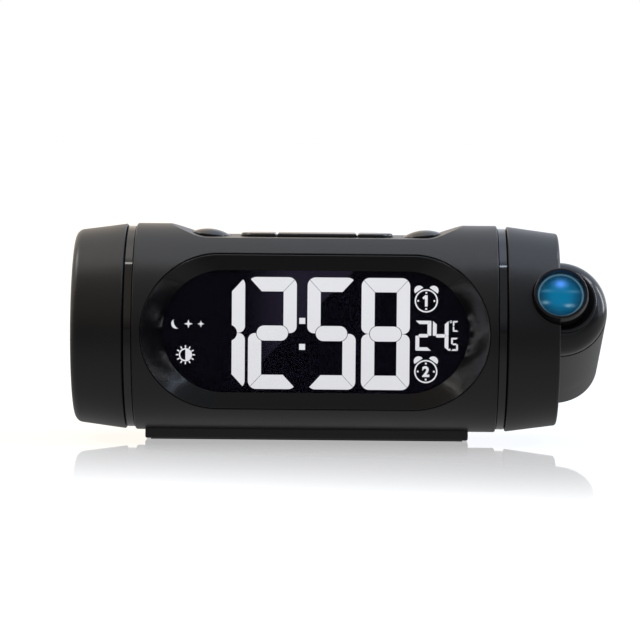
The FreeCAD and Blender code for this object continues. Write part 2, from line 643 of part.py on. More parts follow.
COLLAR = SPIGOT + " - 1.65"
left_mounting = [(CAP_START + " + 2.2", MOUTH + " - 0.2"), (CAP_START + " + 2.2", COLLAR + " - 1.5"),
                 ("body_half + 0.2", COLLAR + " - 1.5"), ("body_half + 0.2", COLLAR),
                 (CAP_START + " + 0.6", COLLAR), (CAP_START + " + 0.6", MOUTH)]
left_cap_body = turned("left_cap_body", cap_points(-1, "left_corner", left_mounting))
grille_holes = []
for ring in range(1, 6):
    for step in range(6 * ring):
        turn = 2 * math.pi * step / (6 * ring)
        reach = 4.6 * ring
        grille_holes.append(rod("grille_%d_%d" % (ring, step), "1.1", "5", "-(" + CAP_FINISH + ") - 1",
                                "%.3f" % (reach * math.cos(turn)), "%.3f" % (reach * math.sin(turn))))
grille_set = group("grille_set", grille_holes)
finish("left_cap", cut("left_cap_cut", left_cap_body, [grille_set]))

# Projector barrel and its envelope, used to clear the cap and the head's plate
def along_barrel(name, radius, back, front):
    """A rod round the barrel axis, from one distance in front of the long axis to another."""
    return rod(name, radius, "(" + front + ") - (" + back + ")", "barrel_place", "-(" + back + ")", "0", "-Y")


barrel_long = along_barrel("barrel_long", "barrel_radius", "-45", "lip_place")
barrel_trim = rod("barrel_trim", "barrel_back", "60", "60")
barrel_blank = common("barrel_blank", barrel_long, barrel_trim)
doc.recompute()
barrel_edges = [(number, 1.2, 1.2) for number, edge in enumerate(barrel_blank.Shape.Edges, 1)
                if edge.BoundBox.YMin > 20 and not edge.isSeam(barrel_blank.Shape.Faces[0])]
barrel_round = doc.addObject("Part::Fillet", "barrel_round")
barrel_round.Base = barrel_blank
barrel_round.Edges = barrel_edges
bore_long = along_barrel("bore_long", "barrel_radius - barrel_wall", "-45", "lip_place + 1")
barrel_bore = common("barrel_bore", bore_long, rod("bore_trim", "barrel_back - barrel_wall", "60", "60"))
lead_hole = rod("lead_hole", "5", "8", "65")
finish("projector_barrel", cut("barrel_cut", barrel_round, [barrel_bore, lead_hole]), HEAD)

dome_shape = [("dome_radius", "lip_place + 1"),
              ("dome_radius - 4.1", "dome_front - 0.4", "dome_radius - 1.1", "lip_place + 6")]
clear_dome = turned_head("clear_dome", [("0", "lip_place - 1"), ("dome_radius + seam", "lip_place - 1"),
                                        ("dome_radius + seam", "lip_place + 1.1"),
                                        ("dome_radius - 3.9", "dome_front - 0.2",
                                         "dome_radius - 0.95", "lip_place + 6.1"),
                                        ("nose_radius", "dome_front + seam"), ("0", "dome_front + seam")])
head_clearance = [along_barrel("clear_barrel", "barrel_radius + seam", "-45", "lip_place + seam"), clear_dome,
                  along_barrel("clear_nose", "nose_radius + 0.2", "lip_place", "50")]
right_cap_body = turned("right_cap_body", cap_points(1, "right_corner", []))
cap_posts = [rod("cap_post_%d" % index, "3.2", "15", CAP_START + " + 1.9", "0", str(z))
             for index, z in enumerate((-25.0, 25.0))]
post_threads = [rod("post_thread_%d" % index, "1.15", "9", CAP_START, "0", str(z))
                for index, z in enumerate((-25.0, 25.0))]
cap_solid = fuse("right_cap_solid", [right_cap_body] + cap_posts)
finish("right_cap", cut("right_cap_cut", cap_solid, head_clearance + post_threads), HEAD)

plate_points = [("body_half - 10.8", "6"), (CAP_START + " + 1.7", "6"),
                (CAP_START + " + 1.7", MOUTH + " - 0.45"), (CAP_START + " + 0.2", MOUTH + " - 0.45"),
                (CAP_START + " + 0.2", SPIGOT + " - 1.8"),
                ("body_half + 0.3", SPIGOT + " - 1.8"), ("body_half + 0.3", SPIGOT + " - 3.3"),
                (CAP_START + " + 0.2", SPIGOT + " - 3.3"), (CAP_START + " + 0.2", "hub_radius"),
                ("body_half - 10.8", "hub_radius")]
plate_clearance = [along_barrel("plate_clear_barrel", "barrel_radius + 0.05", "-45", "lip_place"),
                   along_barrel("plate_clear_dome", "dome_radius + seam", "lip_place - 0.5", "lip_place + 9")]
plate_holes = [rod("plate_hole_%d" % index, "1.3", "6", CAP_START + " - 2", "0", str(z))
               for index, z in enumerate((-25.0, 25.0))]
plate_body = turned("plate_body", plate_points)
finish("head_plate", cut("plate_cut", plate_body, plate_clearance + plate_holes), HEAD)
finish("head_screws", group("head_screw_set", [fuse("head_screw_%d" % index, [
    rod("head_screw_cap_%d" % index, "2.4", "1.5", CAP_START + " - 1.3", "0", str(z)),
    rod("head_screw_shank_%d" % index, "1.1", "8", CAP_START + " + 0.2", "0", str(z))])
    for index, z in enumerate((-25.0, 25.0))]), HEAD)
clip_points = [("body_half - 10.6", "hub_radius"), ("body_half - 10.6", "12.5"), ("body_half - 9.6", "12.5"),
               ("body_half - 9.6", "hub_radius")]
finish("hub_clip", turned("clip_body", clip_points), HEAD)
washer_points = [("body_half - 9.4", "hub_radius + 0.3"), ("body_half - 9.4", "12.3"),
                 ("body_half - 8.3", "12.3"), ("body_half - 8.3", "hub_radius + 0.3")]
finish("friction_washer", turned("washer_body", washer_points))

# Dark dome, focus ring and optics
dome_points = [("barrel_radius - barrel_wall - 0.1", "lip_place - 3.5"),
               ("barrel_radius - barrel_wall - 0.1", "lip_place"),
               ("dome_radius", "lip_place")] + dome_shape + [
               ("nose_radius + 0.15", "dome_front"), ("nose_radius + 0.15", "dome_front - 1.4"),
               ("nose_radius + 1.7", "dome_front - 1.6"), ("nose_radius + 3.5", "dome_front - 3.8"),
               ("dome_radius - 2.1", "lip_place + 3.4"), ("dome_radius - 4.1", "lip_place + 1.5"),
               ("dome_radius - 4.1", "lip_place - 3.5")]
collar_body = turned_head("collar_body", [("0", "dome_front - 0.8"), ("collar_radius", "dome_front - 0.8"),
                                          ("collar_radius", "collar_place - 0.7"),
                                          ("collar_radius - 0.7", "collar_place",
                                           "collar_radius - 0.2", "collar_place - 0.2"),
                                          ("nose_radius + 1", "collar_place"),
                                          ("nose_radius - 1", "collar_place - 0.6"),
                                          ("0", "collar_place - 0.6")])
collar_body.setExpression("Placement.Base.x", formula("barrel_place + collar_shift"))
collar = cut("collar", collar_body, [
    along_barrel("collar_bore", "nose_radius + 0.15", "lip_place", "50"),
    box("collar_clear", ("60", CAP_FINISH + " + seam"), ("-60", "0"), ("-20", "20"))])
finish("projector_dome", fuse("dome_solid", [turned_head("dome_body", dome_points), collar]), HEAD)
focus_points = [("lens_radius + 0.2", "dome_front - 3"), ("nose_radius + 1.2", "dome_front - 3"),
                ("nose_radius + 1.2", "dome_front - 1.8"), ("nose_radius", "dome_front - 1.8"),
                ("nose_radius", "lens_place - 2.4"), ("lens_ring", "lens_place - 0.4"),
                ("lens_ring - 0.3", "lens_place", "lens_ring - 0.08", "lens_place - 0.12"),
                ("lens_radius + 0.1", "lens_place"), ("lens_radius - 0.2", "lens_place - 0.8"),
                ("lens_radius + 0.2", "lens_place - 0.8")]
finish("focus_ring", turned_head("focus_body", focus_points), HEAD)
lens_points = [("0", "lens_place - 3"), ("lens_radius + 0.1", "lens_place - 3"),
               ("lens_radius + 0.1", "lens_place - 0.9"), ("lens_radius - 0.3", "lens_place - 0.9"),
               cap_point("lens_radius - 0.3", "lens_place - 0.9", "lens_place - 0.1")]
finish("projection_lens", turned_head("lens_body", lens_points), HEAD)
retainer_points = [("lens_radius - 1", "lens_place - 6"), ("lens_radius + 0.1", "lens_place - 6"),
                   ("lens_radius + 0.1", "lens_place - 3.1"), ("lens_radius - 1", "lens_place - 3.1")]
finish("lens_retainer", turned_head("retainer_body", retainer_points), HEAD)
HOLDER_RADIUS = "barrel_radius - barrel_wall - 0.1"
holder_points = [("9.2", "-5"), (HOLDER_RADIUS, "-5"), (HOLDER_RADIUS, "10"), ("13.2", "10"), ("13.2", "7.2"),
                 ("9.2", "7.2")]
finish("optics_holder", turned_head("holder_body", holder_points), HEAD)
condenser_points = [("0", "-1.4"), ("9.1", "-1.4"), ("9.1", "0.2"), cap_point("9.1", "0.2", "3")]
finish("condenser_lens", turned_head("condenser_body", condenser_points), HEAD)
film_points = [("0", "5"), ("9.1", "5"), ("9.1", "6"), ("0", "6")]
finish("image_film", turned_head("film_body", film_points), HEAD)
lamp_card = along_barrel("lamp_card_disc", HOLDER_RADIUS + " - 0.1", "-14", "-12.4")
finish("lamp_board", group("lamp_card", [lamp_card]), HEAD)
lamp_points = [("0", "-12.4"), ("3.5", "-12.4"), ("3.5", "-11.2"), ("2.2", "-11.2"), ("2.2", "-10"),
               cap_point("2.2", "-10", "-8.2")]
finish("projection_lamp", turned_head("lamp_body", lamp_points), HEAD)

# Speaker behind the left cap's grille
GRILLE_FACE = CAP_FINISH + " - wall"


def speaker_part(name, points):
    placed = [("-(" + GRILLE_FACE + " - " + x + ")", y) for x, y in points]
    return finish(name, turned(name + "_body", placed))


speaker_part("speaker_gasket", [("0", "25.6"), ("0", "29"), ("0.8", "29"), ("0.8", "25.6")])
speaker_part("speaker_frame", [("0.8", "25.6"), ("0.8", "29"), ("1.9", "29"), ("1.9", "27"), ("5", "25.6"),
                               ("11.6", "14.5"), ("11.6", "9.5"), ("10.4", "9.5"), ("10.4", "13.6"),
                               ("4.4", "24.4"), ("1.9", "25.6")])
speaker_part("speaker_cone", [("2.2", "24.6"), ("2.6", "24.6"), ("8.2", "8.2"), ("7", "0"), ("6.6", "0"),
                              ("7.7", "8")])
speaker_part("speaker_magnet", [("11.7", "0"), ("11.7", "14"), ("13.2", "14"), ("13.2", "16"), ("18.2", "16"),
                                ("18.2", "14"), ("19.6", "14"), ("19.6", "0")])

# Boards inside the tube
finish("main_board", cut("main_card", box("main_card_plate", ("-50", "50"), ("-6", "24"), ("-19.6", "-18")),
                         [rod("main_card_hole_%d" % index, "1.1", "4", str(x), str(y), "-21", "Z")
                          for index, (x, y) in enumerate(BOARD_POSTS)]))
finish("board_screws", group("board_screw_set", [fuse("board_screw_%d" % index, [
    rod("board_screw_cap_%d" % index, "2", "1.2", str(x), str(y), "-18", "Z"),
    rod("board_screw_shank_%d" % index, "0.95", "6", str(x), str(y), "-24", "Z")])
    for index, (x, y) in enumerate(BOARD_POSTS)]))
CHIPS = [(-20, -8, 2, 14, 1.8), (4, 12, 0, 8, 1.5), (16, 22, 12, 20, 1.5), (-40, -30, -4, 0, 5),
         (-10, 0, 18, 23, 4.5), (30, 42, -4, 0, 5)]
chip_blocks = [box("chip_%d" % index, (str(left), str(right)), (str(near), str(far)),
                   ("-18", str(-18 + tall)))
               for index, (left, right, near, far, tall) in enumerate(CHIPS)]
CANS = [(-37, 8, 3.0, 9.0), (-29, 16, 2.5, 7.0), (18, 4, 2.5, 7.0), (-4, 12, 1.6, 4.0)]
chip_cans = [rod("can_%d" % index, str(radius), str(tall), str(x), str(y), "-18", "Z")
             for index, (x, y, radius, tall) in enumerate(CANS)]
finish("board_parts", group("board_part_set", chip_blocks + chip_cans))
bead = fuse("bead", [rod("bead_body", "1.2", "3", "24", "27.5", "-8", "Z"),
                     rod("bead_wire", "0.4", "10.1", "24", "22.5", "-18", "Z"),
                     box("bead_arm", ("23.6", "24.4"), ("22.5", "27.6"), ("-8.3", "-7.6"))])
finish("temperature_sensor", bead)
def jack_rod(name, radius, back, length):
    return rod("jack_" + name, radius, length, str(JACK_X), back, str(JACK_Z), "Y")


jack_block = box("jack_block", (str(JACK_X - 4.5), str(JACK_X + 4.5)), ("19", "29.4"), ("-18", "-8"))
jack_body = fuse("jack_body", [jack_block, jack_rod("nose", "4", "29.4", "4.8")])
jack_shell = cut("jack_shell", jack_body, [jack_rod("bore", "2.8", "24", "12")])
finish("power_jack", fuse("jack_solid", [jack_shell, jack_rod("pin", "1", "23.5", "9.2")]))

# Backup cell in its slide-out tray
CELL_Y = 17.5
CELL_Z = str(TRAY_LOW + 1)
holder_box = box("holder_box", (str(TRAY_X - 14.5), str(TRAY_X + 14.5)), ("3.5", "36"),
                 (str(TRAY_LOW - 1.4), str(TRAY_HIGH + 1.4)))
holder_skin = rod("holder_skin", "body_radius - wall", "2*body_half", "-body_half")
holder_block = common("holder_block", holder_box, holder_skin)
holder_slot = box("holder_slot", TRAY_SLOT_X, ("5", "40"), TRAY_SLOT_Z)
finish("cell_holder", cut("cell_holder_cut", holder_block, [holder_slot]))
tray_box = box("tray_box", (str(TRAY_X - TRAY_HALF), str(TRAY_X + TRAY_HALF)), ("5.5", "40"),
               (str(TRAY_LOW), str(TRAY_HIGH)))
tray_skin = rod("tray_skin", "body_radius - 0.1", "2*body_half", "-body_half")
tray_block = common("tray_block", tray_box, tray_skin)
tray_pocket = rod("tray_pocket", "10.2", "8", str(TRAY_X), str(CELL_Y), CELL_Z, "Z")
tray_notch = rod("tray_notch", "1.3", "10", str(TRAY_X - 5), "36.6", str(TRAY_LOW + 0.2), "X")
finish("cell_tray", cut("cell_tray_cut", tray_block, [tray_pocket, tray_notch]))
finish("coin_cell", group("coin", [rod("coin_disc", "10", "3.2", str(TRAY_X), str(CELL_Y), CELL_Z, "Z")]))
contact_leaf = box("contact_leaf", (str(TRAY_X - 4), str(TRAY_X + 4)), ("6", "20"),
                   (str(TRAY_HIGH + 0.05), str(TRAY_HIGH) + " + key_gap"))
finish("cell_contact", group("contact", [contact_leaf]))

# Rear screws
finish("rear_screws", group("rear_screw_set", [fuse("rear_screw_%d" % index, [
    rod("rear_screw_cap_%d" % index, "2.5", "2", str(x), "26", str(z), "Y"),
    rod("rear_screw_shank_%d" % index, "1.1", "18", str(x), "8", str(z), "Y")])
    for index, (x, z) in enumerate(REAR_SCREWS)]))

# Foot under the tube, with its rubber pads and screws
foot_box = box("foot_box", ("-foot_left", "foot_right"), ("-foot_front", "foot_back"),
               ("-axis_height + pad_rise", "-body_radius + 8"))
doc.recompute()
foot_edges = [(number, 0.7, 0.7) for number, edge in enumerate(foot_box.Shape.Edges, 1)
              if edge.BoundBox.ZMin < value("-axis_height + pad_rise") + 0.01]
foot_round = doc.addObject("Part::Fillet", "foot_round")
foot_round.Base = foot_box
foot_round.Edges = foot_edges
PAD_STRIPS = ((-6.5, 0.9), (9.1, 16.5))
pad_seats = []
pads = []
for index, (near, far) in enumerate(PAD_STRIPS):
    for name, grow, low in (("seat", 0.15, "-axis_height - 1"), ("pad", 0.0, "-axis_height")):
        strip = box("pad_%s_%d" % (name, index), ("-foot_left + 2 - %g" % grow, "foot_right - 2 + %g" % grow),
                    (str(near - grow), str(far + grow)), (low, "-axis_height + pad_thick"))
        (pad_seats if name == "seat" else pads).append(strip)
foot_seats = [rod("foot_seat_%d" % index, "2.8", "1.6", str(x), "4", "-axis_height + pad_rise", "Z")
              for index, x in enumerate(FOOT_SCREWS)]
foot_holes = [rod("foot_hole_%d" % index, "1.3", "8", str(x), "4", "-axis_height", "Z")
              for index, x in enumerate(FOOT_SCREWS)]
foot_saddle = rod("foot_saddle", "body_radius", "2*body_half", "-body_half")
finish("foot_base", cut("foot_cut", foot_round, [foot_saddle] + pad_seats + foot_seats + foot_holes))
finish("foot_pads", group("foot_pad_set", pads))
finish("foot_screws", group("foot_screw_set", [fuse("foot_screw_%d" % index, [
    rod("foot_screw_cap_%d" % index, "2.5", "1.4", str(x), "4", "-axis_height + pad_rise + 0.2", "Z"),
    rod("foot_screw_shank_%d" % index, "1.1", "8", str(x), "4", "-axis_height + pad_rise + 1.5", "Z")])
    for index, x in enumerate(FOOT_SCREWS)]))

# Check every object and every piece, then write the pieces
doc.recompute()
failed = [item.Name for item in doc.Objects if "Invalid" in item.State or "Error" in item.State]
if failed:
    raise RuntimeError("objects failed: " + ", ".join(failed))
bad = [item.Label for item in pieces
       if item.Shape.isNull() or not item.Shape.isValid() or item.Shape.Volume <= 0]
if bad:
    raise RuntimeError("pieces without a valid shape: " + ", ".join(bad))
os.makedirs("parts", exist_ok=True)
for item in pieces:
    item.Shape.exportStep("parts/" + item.Label + ".step")
    reach = item.Shape.BoundBox
    limits = (reach.XMin, reach.XMax, reach.YMin, reach.YMax, reach.ZMin, reach.ZMax)
    print("%-20s %9.1f mm3" % (item.Label, item.Shape.Volume),
          "X %.1f %.1f  Y %.1f %.1f  Z %.1f %.1f" % limits)
print(len(pieces), "pieces written")
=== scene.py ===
import json
import math

import bmesh
import bpy
from mathutils import Matrix, Vector


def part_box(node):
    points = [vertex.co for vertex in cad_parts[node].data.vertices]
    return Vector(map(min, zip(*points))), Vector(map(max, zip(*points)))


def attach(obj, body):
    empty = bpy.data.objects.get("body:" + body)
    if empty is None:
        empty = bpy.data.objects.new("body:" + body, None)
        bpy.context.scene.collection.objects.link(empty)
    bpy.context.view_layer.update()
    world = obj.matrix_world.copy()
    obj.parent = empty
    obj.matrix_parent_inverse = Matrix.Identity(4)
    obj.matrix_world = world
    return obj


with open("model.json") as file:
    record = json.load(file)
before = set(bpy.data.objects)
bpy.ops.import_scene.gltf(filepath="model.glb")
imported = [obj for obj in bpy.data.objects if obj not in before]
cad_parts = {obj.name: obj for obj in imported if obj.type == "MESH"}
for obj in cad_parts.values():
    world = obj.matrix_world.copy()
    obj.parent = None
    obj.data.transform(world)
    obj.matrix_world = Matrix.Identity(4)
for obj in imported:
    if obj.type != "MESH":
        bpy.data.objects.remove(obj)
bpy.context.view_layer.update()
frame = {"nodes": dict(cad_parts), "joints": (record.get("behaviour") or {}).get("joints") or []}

bl_info = {
    "name": "Projection Alarm Clock",
    "version": (1, 0, 0),
    "blender": (4, 5, 0),
    "location": "View3D > Sidebar > Clock",
    "description": "Finishes of a projection alarm clock: shells, lit display, coated lens and studio",
    "category": "Object",
}

MM = 0.001


# Places read from the frame
DIGITS_LOW, DIGITS_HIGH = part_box("display_digits")
LIT_FRONT = DIGITS_LOW.y
LIT_THICK = DIGITS_HIGH.y - DIGITS_LOW.y
RING_LOW, RING_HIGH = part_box("left_trim_ring")
AXIS_HEIGHT = (RING_LOW.z + RING_HIGH.z) / 2
FOCUS_JOINT = [joint for joint in frame["joints"] if joint["name"] == "focus_turn"][0]
BARREL_AXIS = Vector(FOCUS_JOINT["axis"])
BARREL_FOOT = Vector(FOCUS_JOINT["pos_m"])
BARREL_TILT = math.atan2(BARREL_AXIS.z, -BARREL_AXIS.y)
GLASS_LOW, GLASS_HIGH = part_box("projection_lens")
GLASS_RADIUS = (GLASS_HIGH.x - GLASS_LOW.x) / 2

# The disc behind the lens that glows with painted light and highlights: its radius, its thickness and its
# distance from the tube's axis
GLOW_RADIUS = GLASS_RADIUS - 0.2 * MM
GLOW_THICK = 0.04 * MM
GLOW_DISTANCE = 34.97 * MM

# Places of the printed symbols: to the right of the tube's middle, and above its axis
ALARM_PLACES = {"1": (38.99 * MM, 11.2 * MM), "2": (39.05 * MM, -13.8 * MM)}
BRIGHTNESS_PLACE = (-45.9 * MM, -8.6 * MM)
NIGHT_PLACE = (-49.2 * MM, 2.37 * MM)
DEGREE_PLACE = (47.75 * MM, 3.9 * MM)

# Each star of the night symbol: its distance from the crescent and its size
STARS = ((4.3 * MM, 1.5 * MM), (8.7 * MM, 1.2 * MM))

# How far in front of the tube's axis the floor's mirror reaches
MIRROR_REACH = 0.197

# Small lamps: the places of the two high at the sides, their size, and the upright strip's
GLINT_PLACES = {"left": (-0.77, 0.19, 0.94), "right": (0.77, 0.19, 0.94)}
GLINT_SIZE = (0.3, 0.3)
SIDE_PLACE = (1.0, 0.52, 0.36)
SIDE_SIZE = (0.14, 0.6)


# Settings that a user would change
def colour(name, description, default):
    return bpy.props.FloatVectorProperty(name=name, description=description, subtype="COLOR", size=3,
                                         min=0.0, max=1.0, default=default)


def length(name, description, default):
    return bpy.props.FloatProperty(name=name, description=description, unit="LENGTH", precision=5,
                                   default=default)


def power(name, description, default):
    return bpy.props.FloatProperty(name=name, description=description, unit="POWER", default=default)


def plain(name, description, default):
    return bpy.props.FloatProperty(name=name, description=description, default=default)


def angle(name, description, default):
    return bpy.props.FloatProperty(name=name, description=description, subtype="ANGLE",
                                   default=math.radians(default))


class ClockPlastics(bpy.types.PropertyGroup):
    shell: colour("Shell", "Colour of the satin shells, caps, keys and foot", (0.0075, 0.0075, 0.008))
    gloss: colour("Gloss", "Colour of the polished rings, surround and dome", (0.004, 0.004, 0.005))
    grain: length("Grain", "Width of the fine grain moulded into the satin plastic", 0.28 * MM)
    grain_depth: length("Grain depth", "Depth of that grain", 0.012 * MM)
    shell_roughness: plain("Shell roughness", "Roughness of the satin plastic", 0.36)
    key_roughness: plain("Key roughness", "Roughness of the keys, smoother than the shells", 0.2)
    gloss_roughness: plain("Gloss roughness", "Roughness of the polished plastic", 0.07)
    bezel_roughness: plain("Surround roughness", "Roughness of the window's surround", 0.2)


class ClockDisplay(bpy.types.PropertyGroup):
    lit: colour("Lit figures", "Colour of the lit figures and symbols", (0.745, 0.745, 0.768))
    night: colour("Dark field", "Colour of the unlit field behind them", (0.0015, 0.0009, 0.006))
    # This colour is a painted reflection that glows on the field where the window would mirror the room
    painted_pane_reflection: colour("Pane", "Colour of the faint light on the upper middle of the field", (0.012, 0.010, 0.018))
    stroke: length("Symbol stroke", "Line width of the small symbols", 0.49 * MM)
    alarm_radius: length("Alarm symbol", "Radius of the alarm symbols' dials", 4.1 * MM)
    sun_radius: length("Brightness symbol", "Radius of the brightness symbol's disc", 2.33 * MM)
    moon_radius: length("Night symbol", "Radius of the night symbol's crescent", 1.75 * MM)


# Colours of the glow painted on the disc behind the lens, which stands in for the lamp's light and the
# coating's reflections; the bright spot is a painted highlight
class ClockLens(bpy.types.PropertyGroup):
    deep: colour("Deep blue", "Colour of the lens toward its edge", (0.001, 0.022, 0.050))
    teal: colour("Teal", "Colour of the lens near its middle", (0.000, 0.150, 0.300))
    painted_highlight: colour("Bright spot", "Colour of the lamp's image high in the lens", (0.09, 0.34, 1.0))


class ClockStudio(bpy.types.PropertyGroup):
    azimuth: angle("Azimuth", "How far the camera stands to the right of straight ahead", 0.61)
    elevation: angle("Elevation", "How far the camera looks down", 3.71)
    roll: angle("Roll", "How far the camera leans", 0.47)
    distance: length("Distance", "Distance of the camera from the clock", 1.321)
    aside: length("Aside", "How far the view's middle lies to the right of the tube's middle", 1.32 * MM)
    above: length("Above", "How far the view's middle lies above the tube's long axis", 2.69 * MM)
    focal: bpy.props.FloatProperty(name="Focal length", description="Focal length of the lens in millimetres",
                                   default=207.0)
    overhead: plain("Overhead", "Brightness of the softbox above the clock", 1.3)
    strip: plain("Strip", "Brightness of the narrow strip along the softbox's front edge", 10.0)
    ahead: plain("Room ahead", "Brightness of the room in front of the clock", 0.34)
    glint_power: power("Glints", "Power of each small lamp high at the sides", 2.0)
    side_power: power("Side strip", "Power of the upright strip at the right", 1.6)
    floor: colour("Floor", "Colour of the floor where the camera looks at it", (0.3, 0.3, 0.3))
    floor_light: plain("Floor light", "Light added to the floor where the camera looks at it", 0.9)
    floor_glow: plain("Floor glow", "Brightness of the floor near the clock as its underside mirrors it",
                      0.33)
    mirror: bpy.props.FloatProperty(name="Floor mirror", subtype="FACTOR", default=0.53,
                                    description="Share of mirror reflection in the floor")


# Shader arithmetic
class Signal:
    """A node's output that takes part in plain arithmetic."""

    def __init__(self, tree, socket):
        self.tree = tree
        self.socket = socket

    def worked(self, operation, *items):
        node = self.tree.nodes.new("ShaderNodeMath")
        node.operation = operation
        for socket, item in zip(node.inputs, items):
            feed(self.tree, socket, item)
        return Signal(self.tree, node.outputs[0])

    def __add__(self, other):
        return self.worked("ADD", self, other)

    def __radd__(self, other):
        return self.worked("ADD", other, self)

    def __sub__(self, other):
        return self.worked("SUBTRACT", self, other)

    def __rsub__(self, other):
        return self.worked("SUBTRACT", other, self)

    def __mul__(self, other):
        return self.worked("MULTIPLY", self, other)

    def __rmul__(self, other):
        return self.worked("MULTIPLY", other, self)

    def __truediv__(self, other):
        return self.worked("DIVIDE", self, other)

    def __pow__(self, other):
        return self.worked("POWER", self, other)


def feed(tree, socket, item):
    """Link a signal to a socket, or set the socket to a plain value."""
    if isinstance(item, Signal):
        tree.links.new(item.socket, socket)
    elif socket.type == "RGBA" and len(item) == 3:
        socket.default_value = (*item, 1.0)
    else:
        socket.default_value = item


class Finish:
    """A material, light or world whose surface is built from nodes."""

    def __init__(self, tree, target):
        self.tree = tree
        self.tree.nodes.clear()
        self.target = self.tree.nodes.new(target)

    def node(self, kind, settings=None, inputs=None, output=0):
        """Any node: its type, its settings, and the values or links of its sockets."""
        item = self.tree.nodes.new(kind)
        for name, setting in (settings or {}).items():
            if name == "stops":
                ramp = item.color_ramp
                while len(ramp.elements) < len(setting):
                    ramp.elements.new(0.5)
                for element, (position, shade) in zip(ramp.elements, setting):
                    element.position = position
                    element.color = (*shade, 1.0)
            else:
                setattr(item, name, setting)
        for name, value in (inputs or {}).items():
            feed(self.tree, item.inputs[name], value)
        return Signal(self.tree, item.outputs[output])

    def place(self):
        """The object's own coordinates, in metres in the frame of the clock."""
        return self.node("ShaderNodeTexCoord", output="Object")

    def noise(self, width, detail=2.0, stretch=None):
        """Smooth noise from 0 to 1 whose blobs are about the given width."""
        where = self.place()
        if stretch:
            where = self.node("ShaderNodeMapping", None, {"Vector": where, "Scale": stretch})
        return self.node("ShaderNodeTexNoise", None, {
            "Vector": where, "Scale": 0.5 / width, "Detail": detail})

    def mix(self, factor, first, second):
        """A colour between two others."""
        return self.node("ShaderNodeMix", {"data_type": "RGBA"}, {0: factor, 6: first, 7: second}, output=2)

    def smooth(self, value, low, high):
        """0 below low, 1 above high and a soft step between."""
        return self.node("ShaderNodeMapRange", {"interpolation_type": "SMOOTHSTEP"},
                         {"Value": value, "From Min": low, "From Max": high})

    def bump(self, height, depth, strength):
        """A normal that follows a height."""
        return self.node("ShaderNodeBump", None, {"Height": height, "Distance": depth, "Strength": strength})

    def principled(self, **inputs):
        """A Principled surface, its inputs named with underscores for spaces."""
        named = {name.replace("_", " "): value for name, value in inputs.items()}
        return self.node("ShaderNodeBsdfPrincipled", None, named)

    def finish(self, shader):
        self.tree.links.new(shader.socket, self.target.inputs["Surface"])


MADE = {}


def material(name):
    """A new material, kept under its name, and the Finish that fills it."""
    made = bpy.data.materials.new(name)
    MADE[name] = made
    made.use_nodes = True
    return made, Finish(made.node_tree, "ShaderNodeOutputMaterial")


def shade(colours, factor):
    """A colour made darker or lighter."""
    return tuple(factor * part for part in colours)


# Plastics
def satin_plastic(name, tone, roughness, grain, depth, specular=0.5):
    """Moulded plastic with a fine grain, faint flow clouds and slightly rubbed patches."""
    made, finish = material(name)
    clouds = finish.noise(22 * MM, 3.0)
    grains = finish.noise(grain, 1.0)
    rubbed = finish.smooth(finish.noise(9 * MM, 4.0), 0.52, 0.75)
    finish.finish(finish.principled(
        Base_Color=finish.mix(clouds, shade(tone, 0.85), shade(tone, 1.2)),
        Roughness=roughness + (clouds - 0.5) * 0.05 - rubbed * 0.03,
        Specular_IOR_Level=specular,
        Normal=finish.bump(grains, depth, 0.35)))
    return made


def gloss_plastic(name, tone, roughness, specular=0.5):
    """Polished plastic with the soft ripple of a moulded surface and hairline wiping marks."""
    made, finish = material(name)
    ripple = finish.noise(6 * MM, 1.0)
    wipes = finish.noise(0.5 * MM, 2.0, stretch=(0.06, 1.0, 1.0))
    finish.finish(finish.principled(
        Base_Color=finish.mix(ripple, shade(tone, 0.9), shade(tone, 1.15)),
        Roughness=roughness + finish.smooth(wipes, 0.6, 0.8) * 0.05,
        Specular_IOR_Level=specular,
        Normal=finish.bump(ripple, 0.02 * MM, 0.25)))
    return made


def rubber(name, tone, rib):
    """Soft rubber, dusty in its pores, with fine ribs along it."""
    made, finish = material(name)
    pores = finish.noise(0.25 * MM, 3.0)
    dust = finish.noise(5 * MM, 4.0)
    along = finish.node("ShaderNodeSeparateXYZ", None, {"Vector": finish.place()}, output="Y")
    height = pores * 0.3 + along.worked("SINE", along * (2 * math.pi / rib))
    finish.finish(finish.principled(
        Base_Color=finish.mix(dust, shade(tone, 0.8), shade(tone, 1.6)),
        Roughness=0.78 + pores * 0.12,
        Normal=finish.bump(height, 0.05 * MM, 0.5)))
    return made


def circuit_board(name, tone):
    """Solder mask over copper tracks, with small tinned pads."""
    made, finish = material(name)
    tracks = finish.node("ShaderNodeTexBrick", {"offset": 0.5, "squash": 1.0}, {
        "Vector": finish.node("ShaderNodeMapping", None, {
            "Vector": finish.place(), "Scale": (420, 420, 420)}),
        "Scale": 1.0, "Mortar Size": 0.04, "Color1": (0, 0, 0), "Color2": (0, 0, 0), "Mortar": (1, 1, 1)})
    cells = finish.node("ShaderNodeTexVoronoi", None, {"Vector": finish.place(), "Scale": 260.0},
                        output="Distance")
    pads = 1 - finish.smooth(cells, 0.12, 0.16)
    board = finish.mix(tracks, tone, shade(tone, 1.9))
    finish.finish(finish.principled(
        Base_Color=finish.mix(pads, board, (0.62, 0.60, 0.55)),
        Metallic=pads * 0.9,
        Roughness=0.34 + finish.noise(2 * MM) * 0.1,
        Normal=finish.bump(tracks + pads, 0.03 * MM, 0.5)))
    return made


def metal(name, tone, roughness, brushed=(1.0, 1.0, 1.0)):
    """Plated or brushed metal with fine drawn lines and small dull patches."""
    made, finish = material(name)
    lines = finish.noise(0.15 * MM, 3.0, stretch=brushed)
    dull = finish.noise(3 * MM, 4.0)
    finish.finish(finish.principled(
        Base_Color=finish.mix(dull, shade(tone, 0.85), tone),
        Metallic=1.0,
        Roughness=roughness + lines * 0.12 + dull * 0.06,
        Normal=finish.bump(lines, 0.01 * MM, 0.3)))
    return made


